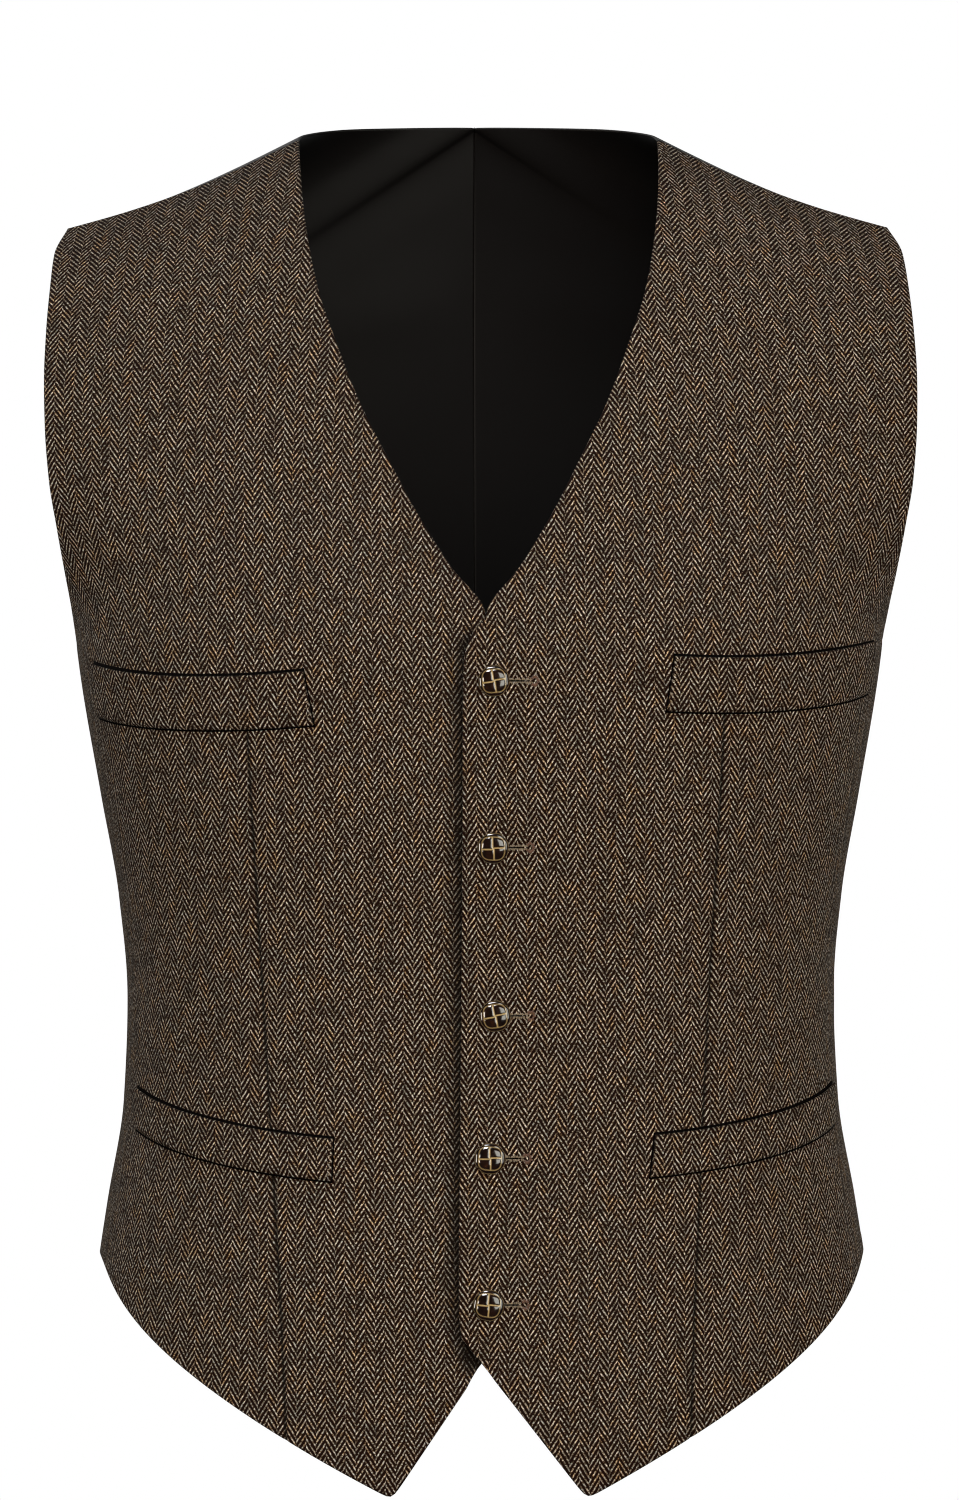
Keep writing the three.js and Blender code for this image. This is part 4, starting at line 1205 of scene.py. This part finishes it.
# %% [markdown]
# A row of short slanted stitches holds down the inner end of each welt, where a hand pulls at it.

# %% Tacks
TACK_FIRST, TACK_LAST, TACK_APART, TACK_SCATTER = 1.6, 0.6, 3.1, 0.2
# share along the welt and step down of a tack's two ends
TACK_ENDS = ((0.004, 0.0), (0.014, 0.9))
TACK_SUNK, TACK_ARCH, TACK_RADIUS = 0.25, 0.3, 0.24
TACK_SEED = 70


def make_tacks(welt, seed):
    """Slanted bars over the inner end of a welt, sunk a little into its face."""
    name, side, height, _ = welt_size(welt)
    rng = np.random.default_rng(seed)
    across = np.arange(TACK_FIRST, height - TACK_LAST, TACK_APART)
    across = across + rng.normal(0, TACK_SCATTER, len(across))
    ends = []
    for along, step in TACK_ENDS:
        base, way = place_and_way(side, *strip_on_front(welt, np.full(len(across), along), across + step))
        ends.append(base + way * (LAID_GAP + WELT_WALL - TACK_SUNK))
    points, faces = bars(ends[0], ends[1], way * TACK_ARCH, TACK_RADIUS)
    made = build(name + "_tacks", points, faces, [pale_thread])
    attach(made, "root")
    print(name, "tacks:", len(across))


for number, welt in enumerate(WELTS):
    make_tacks(welt, TACK_SEED + number)

# %% [markdown]
# Where the two halves of the back meet, the seam's thread fills the valley between their edges and
# keeps the light out. Each long stitch laps half of the next, down the middle of the wall.

# %% The centre-back seam
SEAM_STEP, SEAM_THREAD, SEAM_ARCH = 3.0, 0.45, 0.01
SEAM_ENDS = 1


def make_centre_seam():
    """Stitches down the middle of the back, half a wall in from its face, each two steps long."""
    down = np.arange(NECK_DOWN + SEAM_ENDS, BACK_FOOT + BACK_HEM_DROP - SEAM_ENDS, SEAM_STEP)
    line = on_form(back_form, down, np.zeros(len(down)))
    line[:, 0] = 0
    line[:, 1] -= SATIN_RIM
    lifts = np.tile((0, -SEAM_ARCH, 0), (len(down) - 2, 1))
    points, faces = bars(line[:-2], line[2:], lifts, SEAM_THREAD)
    made = build("centre_back_seam_thread", points, faces, [pocketing_and_shadow])
    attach(made, "root")
    print("centre-back seam:", len(down) - 2, "stitches")


make_centre_seam()

# %% [markdown]
# The studio is as plain as the photo's. The pale floor is where the wearer would stand, below the
# picture. It is lit from within, so that it stays pale from every side, and it throws no light on
# the cloth.

# %% Floor
FLOOR_Z, FLOOR_RADIUS, FLOOR_STEPS = -1.45, 6.0, 96
FLOOR_PAINT = "#e9e7e3"


def make_floor():
    """A flat disc: points at even angles round a circle, and one face."""
    angle = np.linspace(0, 2 * np.pi, FLOOR_STEPS, endpoint=False)
    rim = [(FLOOR_RADIUS * math.cos(a), FLOOR_RADIUS * math.sin(a), FLOOR_Z) for a in angle]
    mesh = bpy.data.meshes.new("floor")
    mesh.from_pydata(rim, [], [tuple(range(FLOOR_STEPS))])
    finish = {"Base Color": FLOOR_PAINT, "Roughness": 0.9}
    glow = {"Emission Color": FLOOR_PAINT, "Emission Strength": 0.85}
    mesh.materials.append(new_material("matt_painted_floor", {**finish, **glow})[0])
    floor = into_scene("floor", mesh)
    floor.visible_diffuse = floor.visible_glossy = False
    print("floor at z", FLOOR_Z, "m")


make_floor()

# %% [markdown]
# Large soft lights in front light the cloth evenly, so that it only turns darker where it rounds away
# at the sides. Gloss is lit apart from cloth: the veiled lights aren't seen in it, and the cards are
# seen only there, a warm one at the left, a wide pale one at the right and a small one above.

# %% Lights
def soft_light(name, place, aim, size, watts, kind="both", hex_code="#ffffff"):
    """A square area light, turned to face a point. A card shows only in gloss, a veiled one only lights."""
    data = bpy.data.lights.new(name, "AREA")
    data.size, data.energy = size, watts
    data.color = linear(hex_code)[:3]
    lamp = into_scene(name, data)
    lamp.location = place
    lamp.visible_diffuse, lamp.visible_glossy = kind != "card", kind != "veiled"
    way = np.array(aim, float) - np.array(place, float)
    level = math.hypot(way[0], way[1])
    lamp.rotation_euler = (math.atan2(level, -way[2]), 0, math.atan2(way[1], way[0]) - math.pi / 2)


CENTRE = (0, 0, -0.3)
soft_light("key", (0.5, -2.9, 0.45), CENTRE, 1.2, 42, "veiled")
soft_light("fill", (-0.3, -2.9, -0.45), CENTRE, 1.2, 22, "veiled")
soft_light("card_right", (1.7, -1.9, 0.1), CENTRE, 2.2, 90, "card", "#f6f6ea")
soft_light("card_top", (-0.6, -0.6, 1.9), CENTRE, 1.1, 100, "card")
soft_light("card_left", (-2.35, -0.7, -0.4), CENTRE, 1.2, 60, "card", "#fff2e2")
soft_light("back_left", (-2.1, 1.8, 0.7), CENTRE, 1.3, 24)
soft_light("back_right", (2.1, 1.8, 0.2), CENTRE, 1.3, 16)
print("lights:", len(bpy.data.lights))

# %% [markdown]
# The ground behind is white to the eye and throws little light, because a bright surround would
# wash the dark cloth out.

# %% Ground behind
GROUND_LIGHT, GROUND_SEEN = 0.03, 1.0
world = bpy.data.worlds.new("white_studio")
bpy.context.scene.world = world
world.use_nodes = True
sky = world.node_tree
seen = add(sky, "LightPath")
levels = {"Value": seen.outputs["Is Camera Ray"], "To Min": GROUND_LIGHT, "To Max": GROUND_SEEN}
ground = add(sky, "MapRange", levels)
sky.links.new(ground.outputs[0], sky.nodes["Background"].inputs["Strength"])
sky.nodes["Background"].inputs["Color"].default_value = (1, 1, 1, 1)
bpy.context.scene.view_settings.view_transform = "Standard"
bpy.context.scene.cycles.filter_width = 1.1
print("ground:", world.name)

# %% [markdown]
# The camera stands three metres off at the height of the chest, through a long lens, and is turned
# by a degree or two, as the photo's was.

# %% Camera
CAMERA_PLACE = (-0.0787, -2.99897, -0.278)
CAMERA_TURN = (90, 0.2, -1.5)
lens = bpy.data.cameras.new("camera")
lens.lens, lens.sensor_width = 145, 36
camera = into_scene("camera", lens)
camera.location = CAMERA_PLACE
camera.rotation_euler = [math.radians(a) for a in CAMERA_TURN]
bpy.context.scene.camera = camera
print("camera:", lens.lens, "mm")
